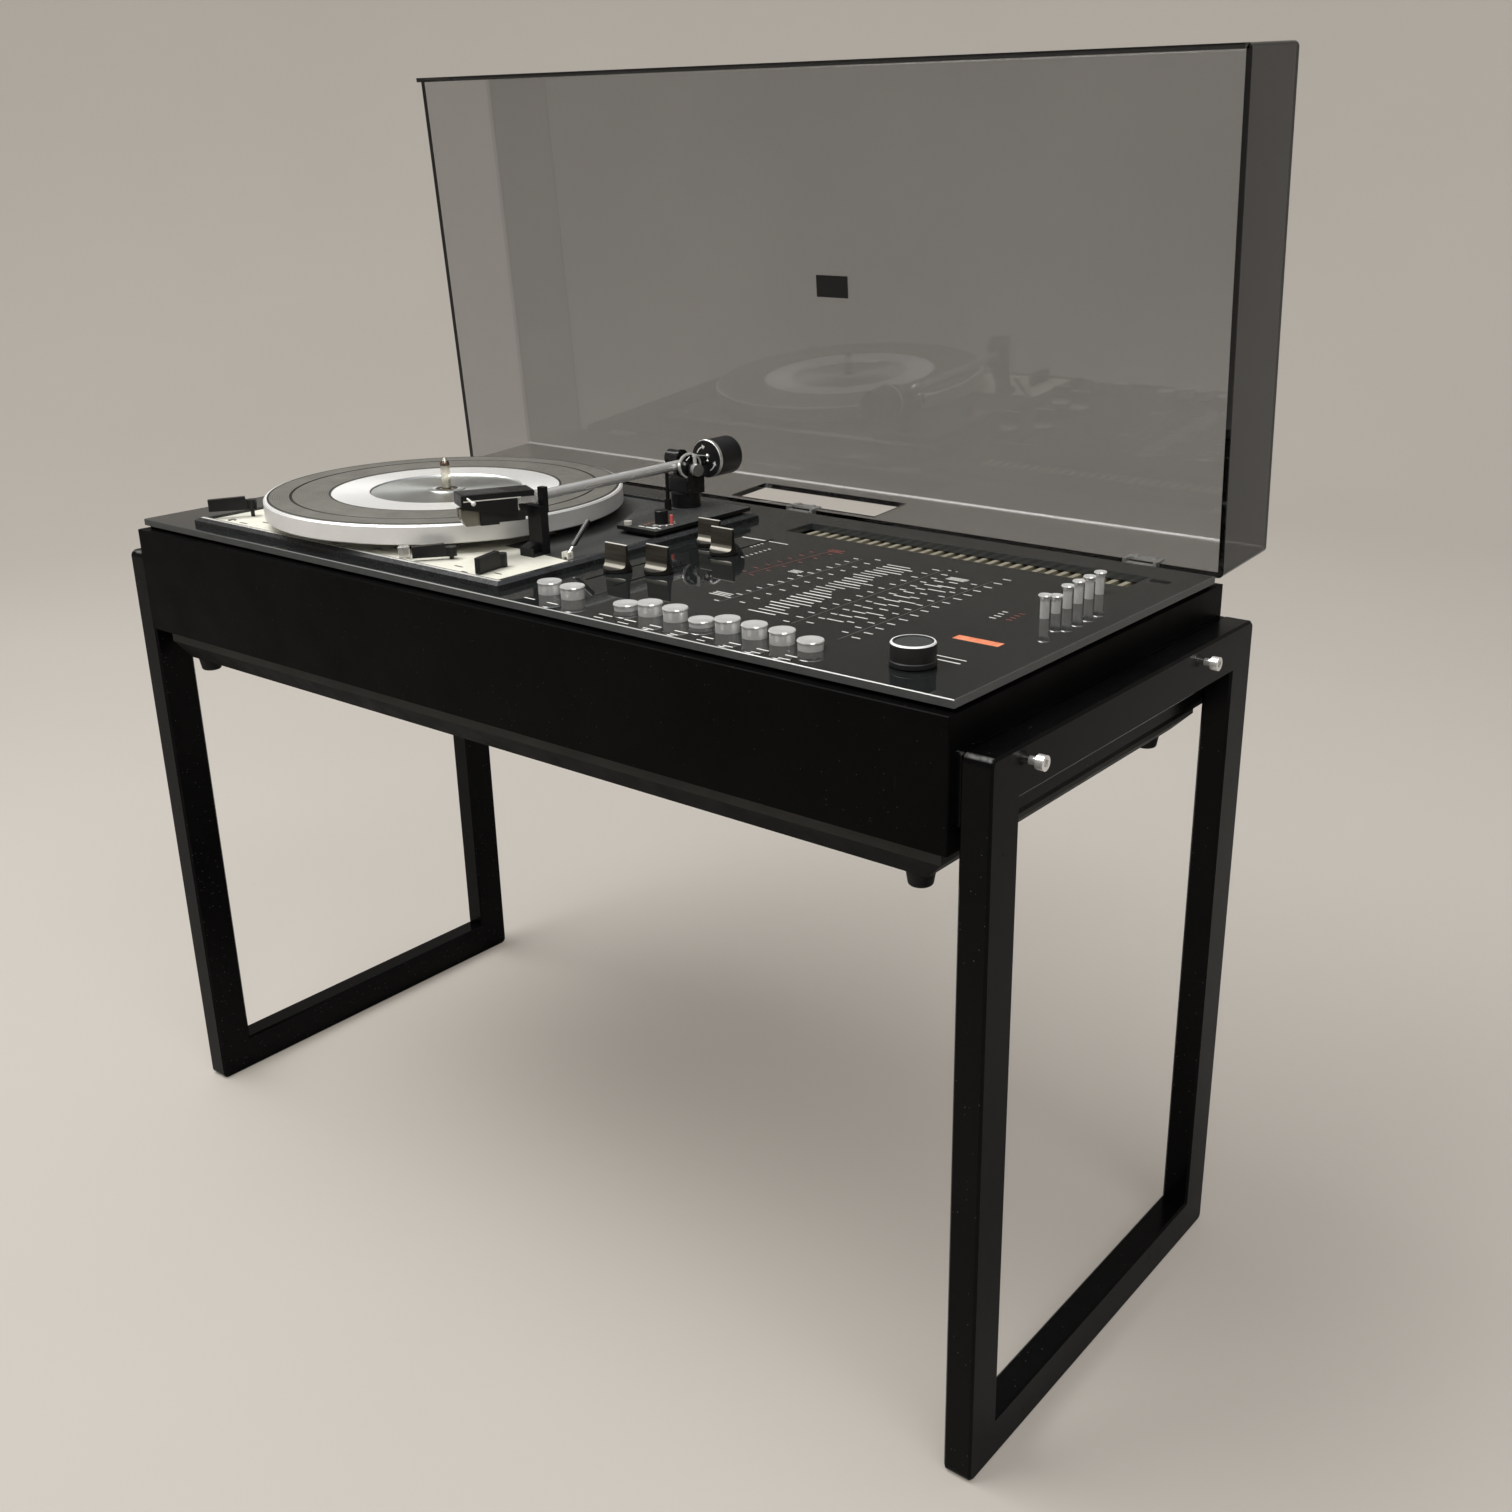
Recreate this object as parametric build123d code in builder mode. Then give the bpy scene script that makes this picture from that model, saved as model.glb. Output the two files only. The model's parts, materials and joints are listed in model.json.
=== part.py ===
from build123d import *

import os
from math import cos, radians, sin

# Table-top music centre (tuner-amplifier with a record player) on a steel hoop stand.
# Millimetres. +X runs to the right along the front, +Y to the back, +Z up from the floor.
# The origin is on the floor, in the middle of the whole object's width and depth.

# ---- driving dimensions -------------------------------------------------------------------
OVERALL_DEPTH = 413.4  # apron face to the back of the open lid
FRONT = -OVERALL_DEPTH / 2  # the apron's face

CABINET_WIDTH = 755.0
CABINET_DEPTH = 338.0
RIM_TOP = 500.0
APRON_HEIGHT = 79.8
SHELL_WALL = 5.0
FLANGE_THICKNESS = 4.0
FLANGE_SIDE = 17.5
FLANGE_FRONT = 18.0
FLANGE_REAR = 20.0
STEP_HEIGHT = 2.5

PANEL_THICKNESS = 5.0
PANEL_SIDE_INSET = 1.2
PANEL_FRONT_INSET = 6.1
PANEL_REAR_INSET = 11.0
PANEL_TOP = RIM_TOP + STEP_HEIGHT + PANEL_THICKNESS

PAN_INSET = 10.0
PAN_FLANGE_INSET = 5.2
PAN_BOTTOM = 395.8
PAN_SHOULDER = 408.8
PAN_SHEET = 2.0
FOOT_HEIGHT = 10.0
FOOT_RADIUS = 9.0
FOOT_X = 344.0
FOOT_Y = (26.0, 306.0)

TUBE_WIDTH = 20.0
TUBE_DEPTH = 30.0
TUBE_WALL = 1.5
HOOP_TOP = 479.5
HOOP_FRONT = 4.3
HOOP_REAR = 337.5
HOOP_CORNER = 5.0
HOOP_BEVEL = 1.6
SPACER = 4.3
BOLT_RADIUS = 2.5
BOLT_HEAD_RADIUS = 4.5
BOLT_HEAD = 4.8
BOLT_GAP = 5.0
NUT_RADIUS = 4.8
NUT_THICKNESS = 4.0
BOLT_Y = (43.0, 262.5)
BOLT_Z = 468.7
HOLE_CLEARANCE = 0.2

LID_WIDTH = 753.8
LID_LENGTH = 332.4
LID_HEIGHT = 74.8
LID_WALL = 4.0
LID_LIP = 6.5
LID_LIP_THICKNESS = 3.4
LID_CORNER = 4.0
LID_INNER_BEND = 2.0
LID_LEAN = 3.57  # the open lid leans this many degrees forward of upright
LID_EDGE = (339.0, 503.2)  # the lid's lower rim edge when open: distance behind the face, height
CUTOUT_X = (-63.0, 82.0)
CUTOUT_W = (8.0, 52.0)
HINGE_Y = 334.4
HINGE_Z = 503.2
HINGE_X = (-317.0, 18.0, 317.0)
HINGE_PIN = 1.25
HINGE_KNUCKLE = 2.6
HINGE_BLOCK = 20.0
RUNNING = 0.05  # radial clearance of a shaft in its bearing

VENT_X = (57.0, 342.0)
VENT_Y = (267.0, 299.0)
FIN_COUNT = 30

BUTTON_Y = 35.0
BUTTON_PITCH = 20.8
BUTTON_FIRST = 46.6
BUTTON_SECOND_GROUP = 114.1
BUTTON_TOP_RADIUS = 8.1
BUTTON_STEM_RADIUS = 7.6
BUTTON_FLARE = 2.5
BUTTON_HEIGHT = 8.0
BUTTON_DEPTHS = (0.0, 0.0, 3.9, 0.0, 0.0, 4.0, 0.0, 0.0, 0.0, 2.4)

PRESET_X = 335.0
PRESET_FIRST_Y = 171.0
PRESET_PITCH = 14.15
PRESET_HEAD_RADIUS = 4.3
PRESET_SHAFT_RADIUS = 2.9
PRESET_HEIGHT = 14.7
PRESET_DEPTHS = (0.0, 3.3, 0.0, 0.0, 0.0, 0.0)

TUNING_X = 324.8
TUNING_Y = 43.6
TUNING_RADIUS = 13.6
TUNING_HEIGHT = 14.1
SHAFT_RADIUS = 3.0

SLOT_LENGTH = 74.0
SLOT_WIDTH = 2.6
SLOT_FRONT_CENTRE = 109.0
SLOT_REAR_CENTRE = 203.0
SLIDE_LEFT_X = 41.3
SLIDE_RIGHT_X = 67.5
SLIDE_PLACES = (
    (SLIDE_LEFT_X, 103.0),
    (SLIDE_RIGHT_X, 115.5),
    (SLIDE_LEFT_X, 199.0),
    (SLIDE_RIGHT_X, 182.8),
)
KNOB_RADIUS = 9.9
KNOB_HEIGHT = 19.0

WINDOW_X = (312.5, 344.5)
WINDOW_Y = (101.0, 110.0)
WINDOW_DEPTH = 1.2

BEZEL_X = (-324.0, 17.0)
BEZEL_Y = (17.0, 284.0)
BEZEL_BAR = 7.0
BEZEL_TOP = 513.0
PLATE_TOP = 511.0
PLATE_THICKNESS = 1.6

SPINDLE_X = -180.0
SPINDLE_Y = 145.0
SPINDLE_RADIUS = 3.6
SPINDLE_LENGTH = 20.0
BEARING_RADIUS = 6.0
PLATTER_RADIUS = 135.0
PLATTER_TOP = 532.3
PLATTER_BOTTOM = 518.5
MAT_THICKNESS = 2.5
DRIVE_RIM_RADIUS = 125.0
IDLER_RADIUS = 20.0
PULLEY_RADIUS = 2.8

ARM_X = -33.0
ARM_Y = 258.0
ARM_Z = 550.0
ARM_TUBE_RADIUS = 3.8
PIVOT_Z = 547.0
YOKE_TURN = 16.0  # the lifting pivot's axis is turned this many degrees
HEAD_Y = 99.0
HEAD_OFFSET = 26.8
HEAD_WIDTH = 20.0
ARM_PLATE_BOTTOM = 514.6
ARM_PLATE_TOP = 517.4
WEIGHT_RADIUS = 14.8

CUE_X = -1.0
CUE_Y = 97.5
CUE_Z = 513.3
CUE_LENGTH = 30.0
CUE_ANGLE = 43.0

# ---- places worked out from them ----------------------------------------------------------
HALF_WIDTH = CABINET_WIDTH / 2
APRON_BOTTOM = RIM_TOP - APRON_HEIGHT
HOOP_INNER = HALF_WIDTH + SPACER
HOOP_OUTER = HOOP_INNER + TUBE_WIDTH
PANEL_BOTTOM = PANEL_TOP - PANEL_THICKNESS
PLATE_BOTTOM = PLATE_TOP - PLATE_THICKNESS
PLATE_X = (BEZEL_X[0] + BEZEL_BAR, BEZEL_X[1] - BEZEL_BAR)
PLATE_Y = (BEZEL_Y[0] + BEZEL_BAR, BEZEL_Y[1] - BEZEL_BAR)
IDLER_DISTANCE = DRIVE_RIM_RADIUS - IDLER_RADIUS
DIAGONAL = sin(radians(45))
IDLER_X = SPINDLE_X + IDLER_DISTANCE * DIAGONAL
IDLER_Y = SPINDLE_Y - IDLER_DISTANCE * DIAGONAL
PULLEY_X = IDLER_X - (IDLER_RADIUS + PULLEY_RADIUS) * DIAGONAL
PULLEY_Y = IDLER_Y - (IDLER_RADIUS + PULLEY_RADIUS) * DIAGONAL
PILLARS = ((-290.0, 45.0), (-20.0, 45.0), (-290.0, 255.0), (-20.0, 255.0))
PILLAR_TOP = 476.0
BOARD_X = (24.0, 360.0)
BOARD_Y = (16.0, 250.0)
BOARD_Z = 470.0
BUTTON_XS = [BUTTON_FIRST + i * BUTTON_PITCH for i in range(2)]
BUTTON_XS += [BUTTON_SECOND_GROUP + i * BUTTON_PITCH for i in range(8)]
PRESET_YS = [PRESET_FIRST_Y + i * PRESET_PITCH for i in range(6)]

os.makedirs("parts", exist_ok=True)


def back(distance):
    """Y of a point this far behind the apron's face."""
    return FRONT + distance


def at(x, distance, z=0.0):
    return (x, back(distance), z)


def level(height):
    """A horizontal sketch plane with its centre over the front edge's middle."""
    return Plane(origin=(0, FRONT, height), x_dir=(1, 0, 0), z_dir=(0, 0, 1))


def save(name, part):
    part.label = name
    export_step(part, f"parts/{name}.step")


def bar(xs, ys):
    """Draws a rectangle between two X and two depth values in the current sketch."""
    with Locations(((xs[0] + xs[1]) / 2, (ys[0] + ys[1]) / 2)):
        Rectangle(xs[1] - xs[0], ys[1] - ys[0])


def slab(xs, ys, zs, mode=Mode.ADD):
    """Adds a block between two X, two depth and two Z values to the current part."""
    centre = at((xs[0] + xs[1]) / 2, (ys[0] + ys[1]) / 2, (zs[0] + zs[1]) / 2)
    with Locations(centre):
        Box(xs[1] - xs[0], ys[1] - ys[0], zs[1] - zs[0], mode=mode)


def post(x, y, zs, radius, mode=Mode.ADD):
    """Adds an upright cylinder at X and depth, between two Z values."""
    with Locations(at(x, y, (zs[0] + zs[1]) / 2)):
        Cylinder(radius, zs[1] - zs[0], mode=mode)


def axle(xs, y, z, radius, mode=Mode.ADD):
    """Adds a cylinder along X at a depth and a height."""
    with Locations(Location(at((xs[0] + xs[1]) / 2, y, z), (0, 90, 0))):
        Cylinder(radius, xs[1] - xs[0], mode=mode)


# ---- stand --------------------------------------------------------------------------------
def make_hoop(name, side):
    """A welded rectangle of box tube: side is +1 on the right and -1 on the left."""
    middle = side * (HOOP_INNER + TUBE_WIDTH / 2)
    face = Plane(origin=(middle, 0, 0), x_dir=(0, 1, 0), z_dir=(1, 0, 0))
    depth = HOOP_REAR - HOOP_FRONT
    centre = (back((HOOP_FRONT + HOOP_REAR) / 2), HOOP_TOP / 2)
    with BuildPart() as hoop:
        with BuildSketch(face):
            with Locations(centre):
                RectangleRounded(depth, HOOP_TOP, HOOP_CORNER)
                Rectangle(depth - 2 * TUBE_DEPTH, HOOP_TOP - 2 * TUBE_DEPTH, mode=Mode.SUBTRACT)
        extrude(amount=TUBE_WIDTH / 2, both=True)
        long_edges = hoop.edges().filter_by(Axis.X, reverse=True).group_by(Axis.X)
        chamfer(long_edges[0] + long_edges[-1], HOOP_BEVEL)
        with BuildSketch(face):
            with Locations(centre):
                Rectangle(depth - 2 * TUBE_WALL, HOOP_TOP - 2 * TUBE_WALL)
                inner = 2 * (TUBE_DEPTH - TUBE_WALL)
                Rectangle(depth - inner, HOOP_TOP - inner, mode=Mode.SUBTRACT)
        extrude(amount=TUBE_WIDTH / 2 - TUBE_WALL, both=True, mode=Mode.SUBTRACT)
        for y in BOLT_Y:
            reach = (middle - TUBE_WIDTH, middle + TUBE_WIDTH)
            axle(reach, y, BOLT_Z, BOLT_RADIUS + HOLE_CLEARANCE, mode=Mode.SUBTRACT)
    save(name, hoop.part)


make_hoop("left_hoop", -1)
make_hoop("right_hoop", 1)

SPACER_Z = (427.0, 479.0)
SPACER_Y = (6.0, 334.0)
with BuildPart() as stand_spacers:
    for side in (-1, 1):
        xs = sorted((side * HALF_WIDTH, side * HOOP_INNER))
        slab(xs, SPACER_Y, SPACER_Z)
    lower = stand_spacers.edges().filter_by(Axis.X).group_by(Axis.Z)[0]
    chamfer(lower, 10.0)
    for y in BOLT_Y:
        reach = (-HOOP_OUTER, HOOP_OUTER)
        axle(reach, y, BOLT_Z, BOLT_RADIUS + HOLE_CLEARANCE, mode=Mode.SUBTRACT)
save("stand_spacers", stand_spacers.part)

SOCKET_RADIUS = 2.4
SOCKET_DEPTH = 3.0
BOLT_END = HALF_WIDTH - SHELL_WALL - NUT_THICKNESS - 1.5
with BuildPart() as stand_bolts:
    head_start = HOOP_OUTER + BOLT_GAP
    head_end = head_start + BOLT_HEAD
    for side in (-1, 1):
        for y in BOLT_Y:
            axle(sorted((side * BOLT_END, side * head_start)), y, BOLT_Z, BOLT_RADIUS)
            axle(sorted((side * head_start, side * head_end)), y, BOLT_Z, BOLT_HEAD_RADIUS)
            with BuildSketch(Plane(origin=at(side * head_end, y, BOLT_Z), z_dir=(-side, 0, 0))):
                RegularPolygon(SOCKET_RADIUS, 6)
            extrude(amount=SOCKET_DEPTH, mode=Mode.SUBTRACT)
            nut_face = side * (HALF_WIDTH - SHELL_WALL)
            with BuildSketch(Plane(origin=at(nut_face, y, BOLT_Z), z_dir=(-side, 0, 0))):
                RegularPolygon(NUT_RADIUS, 6)
            extrude(amount=NUT_THICKNESS)
save("stand_bolts", stand_bolts.part)

# ---- cabinet ------------------------------------------------------------------------------
FLANGE_X = (-HALF_WIDTH + FLANGE_SIDE, HALF_WIDTH - FLANGE_SIDE)
FLANGE_Y = (FLANGE_FRONT, CABINET_DEPTH - FLANGE_REAR)
STEP_X = (-HALF_WIDTH + 4.0, HALF_WIDTH - 4.0)
STEP_Y = (9.0, 324.0)
with BuildPart() as cabinet_shell:
    slab((-HALF_WIDTH, HALF_WIDTH), (0, CABINET_DEPTH), (APRON_BOTTOM, RIM_TOP))
    chamfer(cabinet_shell.edges().filter_by(Axis.Z).group_by(Axis.Y)[0], 0.8)
    chamfer(cabinet_shell.edges().filter_by(Axis.X).group_by(Axis.Z)[-1].sort_by(Axis.Y)[0], 0.6)
    inside = (-HALF_WIDTH + SHELL_WALL, HALF_WIDTH - SHELL_WALL)
    under = (APRON_BOTTOM, RIM_TOP - FLANGE_THICKNESS)
    slab(inside, (SHELL_WALL, CABINET_DEPTH), under, mode=Mode.SUBTRACT)
    slab(STEP_X, STEP_Y, (RIM_TOP, PANEL_BOTTOM))
    slab(FLANGE_X, FLANGE_Y, (under[1] - 1, PANEL_BOTTOM + 1), mode=Mode.SUBTRACT)
    for y in BOLT_Y:
        reach = (-HALF_WIDTH - 1, HALF_WIDTH + 1)
        axle(reach, y, BOLT_Z, BOLT_RADIUS + HOLE_CLEARANCE, mode=Mode.SUBTRACT)
save("cabinet_shell", cabinet_shell.part)

PANEL_X = (-HALF_WIDTH + PANEL_SIDE_INSET, HALF_WIDTH - PANEL_SIDE_INSET)
PANEL_Y = (PANEL_FRONT_INSET, CABINET_DEPTH - PANEL_REAR_INSET)
OPENING_LAP = 5.0
with BuildPart() as top_panel:
    with BuildSketch(level(PANEL_BOTTOM)):
        bar(PANEL_X, PANEL_Y)
        lap_x = (BEZEL_X[0] + OPENING_LAP, BEZEL_X[1] - OPENING_LAP)
        lap_y = (BEZEL_Y[0] + OPENING_LAP, BEZEL_Y[1] - OPENING_LAP)
        with Locations(((lap_x[0] + lap_x[1]) / 2, (lap_y[0] + lap_y[1]) / 2)):
            Rectangle(lap_x[1] - lap_x[0], lap_y[1] - lap_y[0], mode=Mode.SUBTRACT)
        with Locations(((VENT_X[0] + VENT_X[1]) / 2, (VENT_Y[0] + VENT_Y[1]) / 2)):
            Rectangle(VENT_X[1] - VENT_X[0], VENT_Y[1] - VENT_Y[0], mode=Mode.SUBTRACT)
        for x in (SLIDE_LEFT_X, SLIDE_RIGHT_X):
            with Locations((x, SLOT_FRONT_CENTRE), (x, SLOT_REAR_CENTRE)):
                SlotOverall(SLOT_LENGTH, SLOT_WIDTH, rotation=90, mode=Mode.SUBTRACT)
        with Locations(*[(x, BUTTON_Y) for x in BUTTON_XS]):
            Circle(BUTTON_STEM_RADIUS + 0.35, mode=Mode.SUBTRACT)
        with Locations(*[(PRESET_X, y) for y in PRESET_YS]):
            Circle(PRESET_SHAFT_RADIUS + 0.3, mode=Mode.SUBTRACT)
        with Locations((TUNING_X, TUNING_Y)):
            Circle(SHAFT_RADIUS + 0.3, mode=Mode.SUBTRACT)
    extrude(amount=PANEL_THICKNESS)
    recess = (PANEL_TOP - WINDOW_DEPTH, PANEL_TOP)
    slab(WINDOW_X, WINDOW_Y, recess, mode=Mode.SUBTRACT)
    chamfer(top_panel.faces().sort_by(Axis.Z)[-1].outer_wire().edges(), 0.5)
save("top_panel", top_panel.part)

SOCKET_XS = (-250.0, -215.0, -180.0, -145.0, 120.0, 155.0)
SOCKET_Z = 450.0
SOCKET_BODY = 7.9
INLET_X = (260.0, 284.0)
INLET_Z = (442.0, 458.0)
REAR_FACE = CABINET_DEPTH - 2.0
REAR_SHEET = 3.0
with BuildPart() as rear_panel:
    width = HALF_WIDTH - SHELL_WALL - 0.3
    sheet = (REAR_FACE - REAR_SHEET, REAR_FACE)
    slab((-width, width), sheet, (APRON_BOTTOM + 0.2, RIM_TOP - FLANGE_THICKNESS - 0.2))
    for x in SOCKET_XS:
        hole = Location(at(x, REAR_FACE, SOCKET_Z), (90, 0, 0))
        with Locations(hole):
            Cylinder(SOCKET_BODY + 0.1, 10, mode=Mode.SUBTRACT)
    slab((INLET_X[0] - 0.1, INLET_X[1] + 0.1), (300, 340), (INLET_Z[0] - 0.1, INLET_Z[1] + 0.1),
         mode=Mode.SUBTRACT)
save("rear_panel", rear_panel.part)

with BuildPart() as rear_sockets:
    for x in SOCKET_XS:
        with Locations(Location(at(x, REAR_FACE - 4.0, SOCKET_Z), (90, 0, 0))):
            Cylinder(SOCKET_BODY, 11)
        with Locations(Location(at(x, REAR_FACE, SOCKET_Z), (90, 0, 0))):
            Cylinder(SOCKET_BODY - 2.0, 6, mode=Mode.SUBTRACT)
    slab(INLET_X, (318, REAR_FACE + 1.5), INLET_Z)
    slab((INLET_X[0] + 3, INLET_X[1] - 3), (REAR_FACE - 8, REAR_FACE + 2),
         (INLET_Z[0] + 3, INLET_Z[1] - 3), mode=Mode.SUBTRACT)
    for x in (-4.0, 4.0):
        pin_x = (INLET_X[0] + INLET_X[1]) / 2 + x
        slab((pin_x - 1, pin_x + 1), (REAR_FACE - 8, REAR_FACE), (449, 451))
save("rear_sockets", rear_sockets.part)

PAN_X = HALF_WIDTH - PAN_INSET
PAN_Y = (PAN_INSET, CABINET_DEPTH - PAN_INSET)
PAN_SLOPE_X = 13.0
PAN_SLOPE_Y = 7.0
PAN_TOP = 428.0
PAN_FLANGE = 3.0


def pan_outline(height, grow_x, grow_y):
    with BuildSketch(level(height)) as outline:
        bar((-PAN_X + grow_x, PAN_X - grow_x), (PAN_Y[0] + grow_y, PAN_Y[1] - grow_y))
    return outline.sketch


BOARD_POSTS = ((40.0, 60.0), (345.0, 60.0), (40.0, 235.0), (345.0, 235.0))
with BuildPart() as base_pan:
    loft([pan_outline(PAN_BOTTOM, PAN_SLOPE_X, PAN_SLOPE_Y), pan_outline(PAN_SHOULDER, 0, 0)])
    extrude(pan_outline(PAN_SHOULDER, 0, 0), amount=PAN_TOP - PAN_SHOULDER)
    flange_grow = PAN_FLANGE_INSET - PAN_INSET
    extrude(pan_outline(PAN_TOP - PAN_FLANGE, flange_grow, flange_grow), amount=PAN_FLANGE)
    floor = PAN_BOTTOM + PAN_SHEET
    inner_low = pan_outline(floor, PAN_SLOPE_X + PAN_SHEET, PAN_SLOPE_Y + PAN_SHEET)
    inner_high = pan_outline(PAN_SHOULDER, PAN_SHEET, PAN_SHEET)
    loft([inner_low, inner_high], mode=Mode.SUBTRACT)
    extrude(inner_high, amount=PAN_TOP - PAN_SHOULDER, mode=Mode.SUBTRACT)
    for x, y in PILLARS:
        post(x, y, (floor, PILLAR_TOP), 7.0)
    for x, y in BOARD_POSTS:
        post(x, y, (floor, BOARD_Z), 4.0)
save("base_pan", base_pan.part)

with BuildPart() as rubber_feet:
    for x in (-FOOT_X, FOOT_X):
        for y in FOOT_Y:
            with Locations(at(x, y, PAN_BOTTOM - FOOT_HEIGHT / 2)):
                Cone(FOOT_RADIUS - 1.7, FOOT_RADIUS, FOOT_HEIGHT)
    fillet(rubber_feet.edges().group_by(Axis.Z)[0], 2.0)
save("rubber_feet", rubber_feet.part)

# ---- inside the cabinet -------------------------------------------------------------------
FIN_THICKNESS = 4.0
FIN_Z = (466.0, 502.0)
with BuildPart() as heat_sink:
    slab((VENT_X[0] + 2, VENT_X[1] - 2), (VENT_Y[0] - 4, REAR_FACE - REAR_SHEET), (462.0, FIN_Z[0]))
    fin_step = (VENT_X[1] - VENT_X[0] - 12) / (FIN_COUNT - 1)
    for i in range(FIN_COUNT):
        x = VENT_X[0] + 6 + i * fin_step
        slab((x - FIN_THICKNESS / 2, x + FIN_THICKNESS / 2), (VENT_Y[0] - 2, VENT_Y[1] + 8), FIN_Z)
save("heat_sink", heat_sink.part)

with BuildPart() as mains_transformer:
    slab((215.0, 290.0), (175.0, 225.0), (floor, floor + 54))
    slab((228.0, 277.0), (163.0, 237.0), (floor + 10, floor + 44))
save("mains_transformer", mains_transformer.part)

SWITCH_TOP = 494.0
with BuildPart() as circuit_board:
    slab(BOARD_X, BOARD_Y, (BOARD_Z, BOARD_Z + 1.6))
    slab((BUTTON_XS[0] - 9, BUTTON_XS[-1] + 9), (BUTTON_Y - 9, BUTTON_Y + 9), (BOARD_Z, SWITCH_TOP))
    slab((TUNING_X - 12, TUNING_X + 12), (TUNING_Y - 12, TUNING_Y + 12), (BOARD_Z, 489.0))
    slab((PRESET_X - 8, PRESET_X + 8), (PRESET_YS[0] - 8, BOARD_Y[1]), (BOARD_Z, 488.0))
    for x in (SLIDE_LEFT_X, SLIDE_RIGHT_X):
        for y in (SLOT_FRONT_CENTRE, SLOT_REAR_CENTRE):
            slab((x - 5, x + 5), (y - 40, y + 40), (BOARD_Z, 498.0))
save("circuit_board", circuit_board.part)

# ---- lid and its hinges -------------------------------------------------------------------
lean = radians(LID_LEAN)
LID_PLANE = Plane(
    origin=at(0, LID_EDGE[0], LID_EDGE[1]),
    x_dir=(1, 0, 0),
    z_dir=(0, -cos(lean), -sin(lean)),
)


def lid_block(xs, lengths, depths, mode=Mode.ADD):
    """A block in the lid's own frame: width, up the open lid, and depth behind its rim."""
    with BuildSketch(LID_PLANE.offset(-depths[1])) as outline:
        bar(xs, lengths)
    extrude(outline.sketch, amount=depths[1] - depths[0], mode=mode)


LID_X = (-LID_WIDTH / 2, LID_WIDTH / 2)
with BuildPart() as lid:
    lid_block(LID_X, (0, LID_LENGTH), (0, LID_HEIGHT))
    back_face = lid.faces().sort_by(Axis.Y)[-1]
    upright = lid.edges().filter_by(lambda e: abs(e.length - LID_HEIGHT) < 0.01)
    fillet(upright + back_face.edges(), LID_CORNER)
    hollow_x = (LID_X[0] + LID_WALL, LID_X[1] - LID_WALL)
    hollow_y = (LID_WALL, LID_LENGTH - LID_LIP_THICKNESS)
    lid_block(hollow_x, hollow_y, (-1, LID_HEIGHT - LID_WALL), mode=Mode.SUBTRACT)
    inner_plate = lid.faces().filter_by(LID_PLANE).sort_by(Axis.Y)[-2]
    fillet(inner_plate.edges(), LID_INNER_BEND)
    lid_block((LID_X[0] + 2, LID_X[1] - 2), (hollow_y[1], LID_LENGTH), (-LID_LIP, 0.5))
    lid_block(CUTOUT_X, (-1, LID_WALL + 1), CUTOUT_W, mode=Mode.SUBTRACT)
save("lid", lid.part)

EAR_WIDTH = 2.6
EAR_GAP = 0.4
LEAF_THICKNESS = 1.6
LEAF_DEPTH = 7.2
with BuildPart() as lid_hinge_leaves:
    for centre in HINGE_X:
        half = HINGE_BLOCK / 2 + EAR_GAP + EAR_WIDTH
        lid_block((centre - half, centre + half), (LID_WALL, LID_WALL + LEAF_THICKNESS), (1.0, LEAF_DEPTH))
        for side in (-1, 1):
            inner = centre + side * (HINGE_BLOCK / 2 + EAR_GAP)
            outer = centre + side * half
            xs = sorted((inner, outer))
            axle(xs, HINGE_Y, HINGE_Z, HINGE_KNUCKLE)
            rise = LID_EDGE[1] + LID_WALL + LEAF_THICKNESS
            slab(xs, (HINGE_Y - 1.2, LID_EDGE[0] - 0.6), (HINGE_Z + 1.0, rise))
            slab(xs, (HINGE_Y - 1.2, LID_EDGE[0] + 3.0), (rise - LEAF_THICKNESS + 0.25, rise))
            axle(xs, HINGE_Y, HINGE_Z, HINGE_PIN + RUNNING, mode=Mode.SUBTRACT)
        for x in (centre - 7, centre + 7):
            head = LID_PLANE.origin + LID_PLANE.y_dir * (LID_WALL + LEAF_THICKNESS)
            head = head - LID_PLANE.z_dir * 4.2
            with Locations(Plane(origin=(x, head.Y, head.Z), z_dir=LID_PLANE.y_dir)):
                Cylinder(1.9, 1.0, align=(Align.CENTER, Align.CENTER, Align.MIN))
save("lid_hinge_leaves", lid_hinge_leaves.part)

BLOCK_TOP = 506.4
BLOCK_Y = (328.0, 337.4)
with BuildPart() as fixed_hinge_leaves:
    for centre in HINGE_X:
        xs = (centre - HINGE_BLOCK / 2, centre + HINGE_BLOCK / 2)
        slab(xs, BLOCK_Y, (RIM_TOP, BLOCK_TOP))
        reach = (xs[0] - EAR_GAP - EAR_WIDTH, xs[1] + EAR_GAP + EAR_WIDTH)
        axle(reach, HINGE_Y, HINGE_Z, HINGE_PIN)
        for x in (centre - 6.5, centre + 6.5):
            post(x, 331.5, (BLOCK_TOP, BLOCK_TOP + 0.9), 2.2)
save("fixed_hinge_leaves", fixed_hinge_leaves.part)

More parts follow.
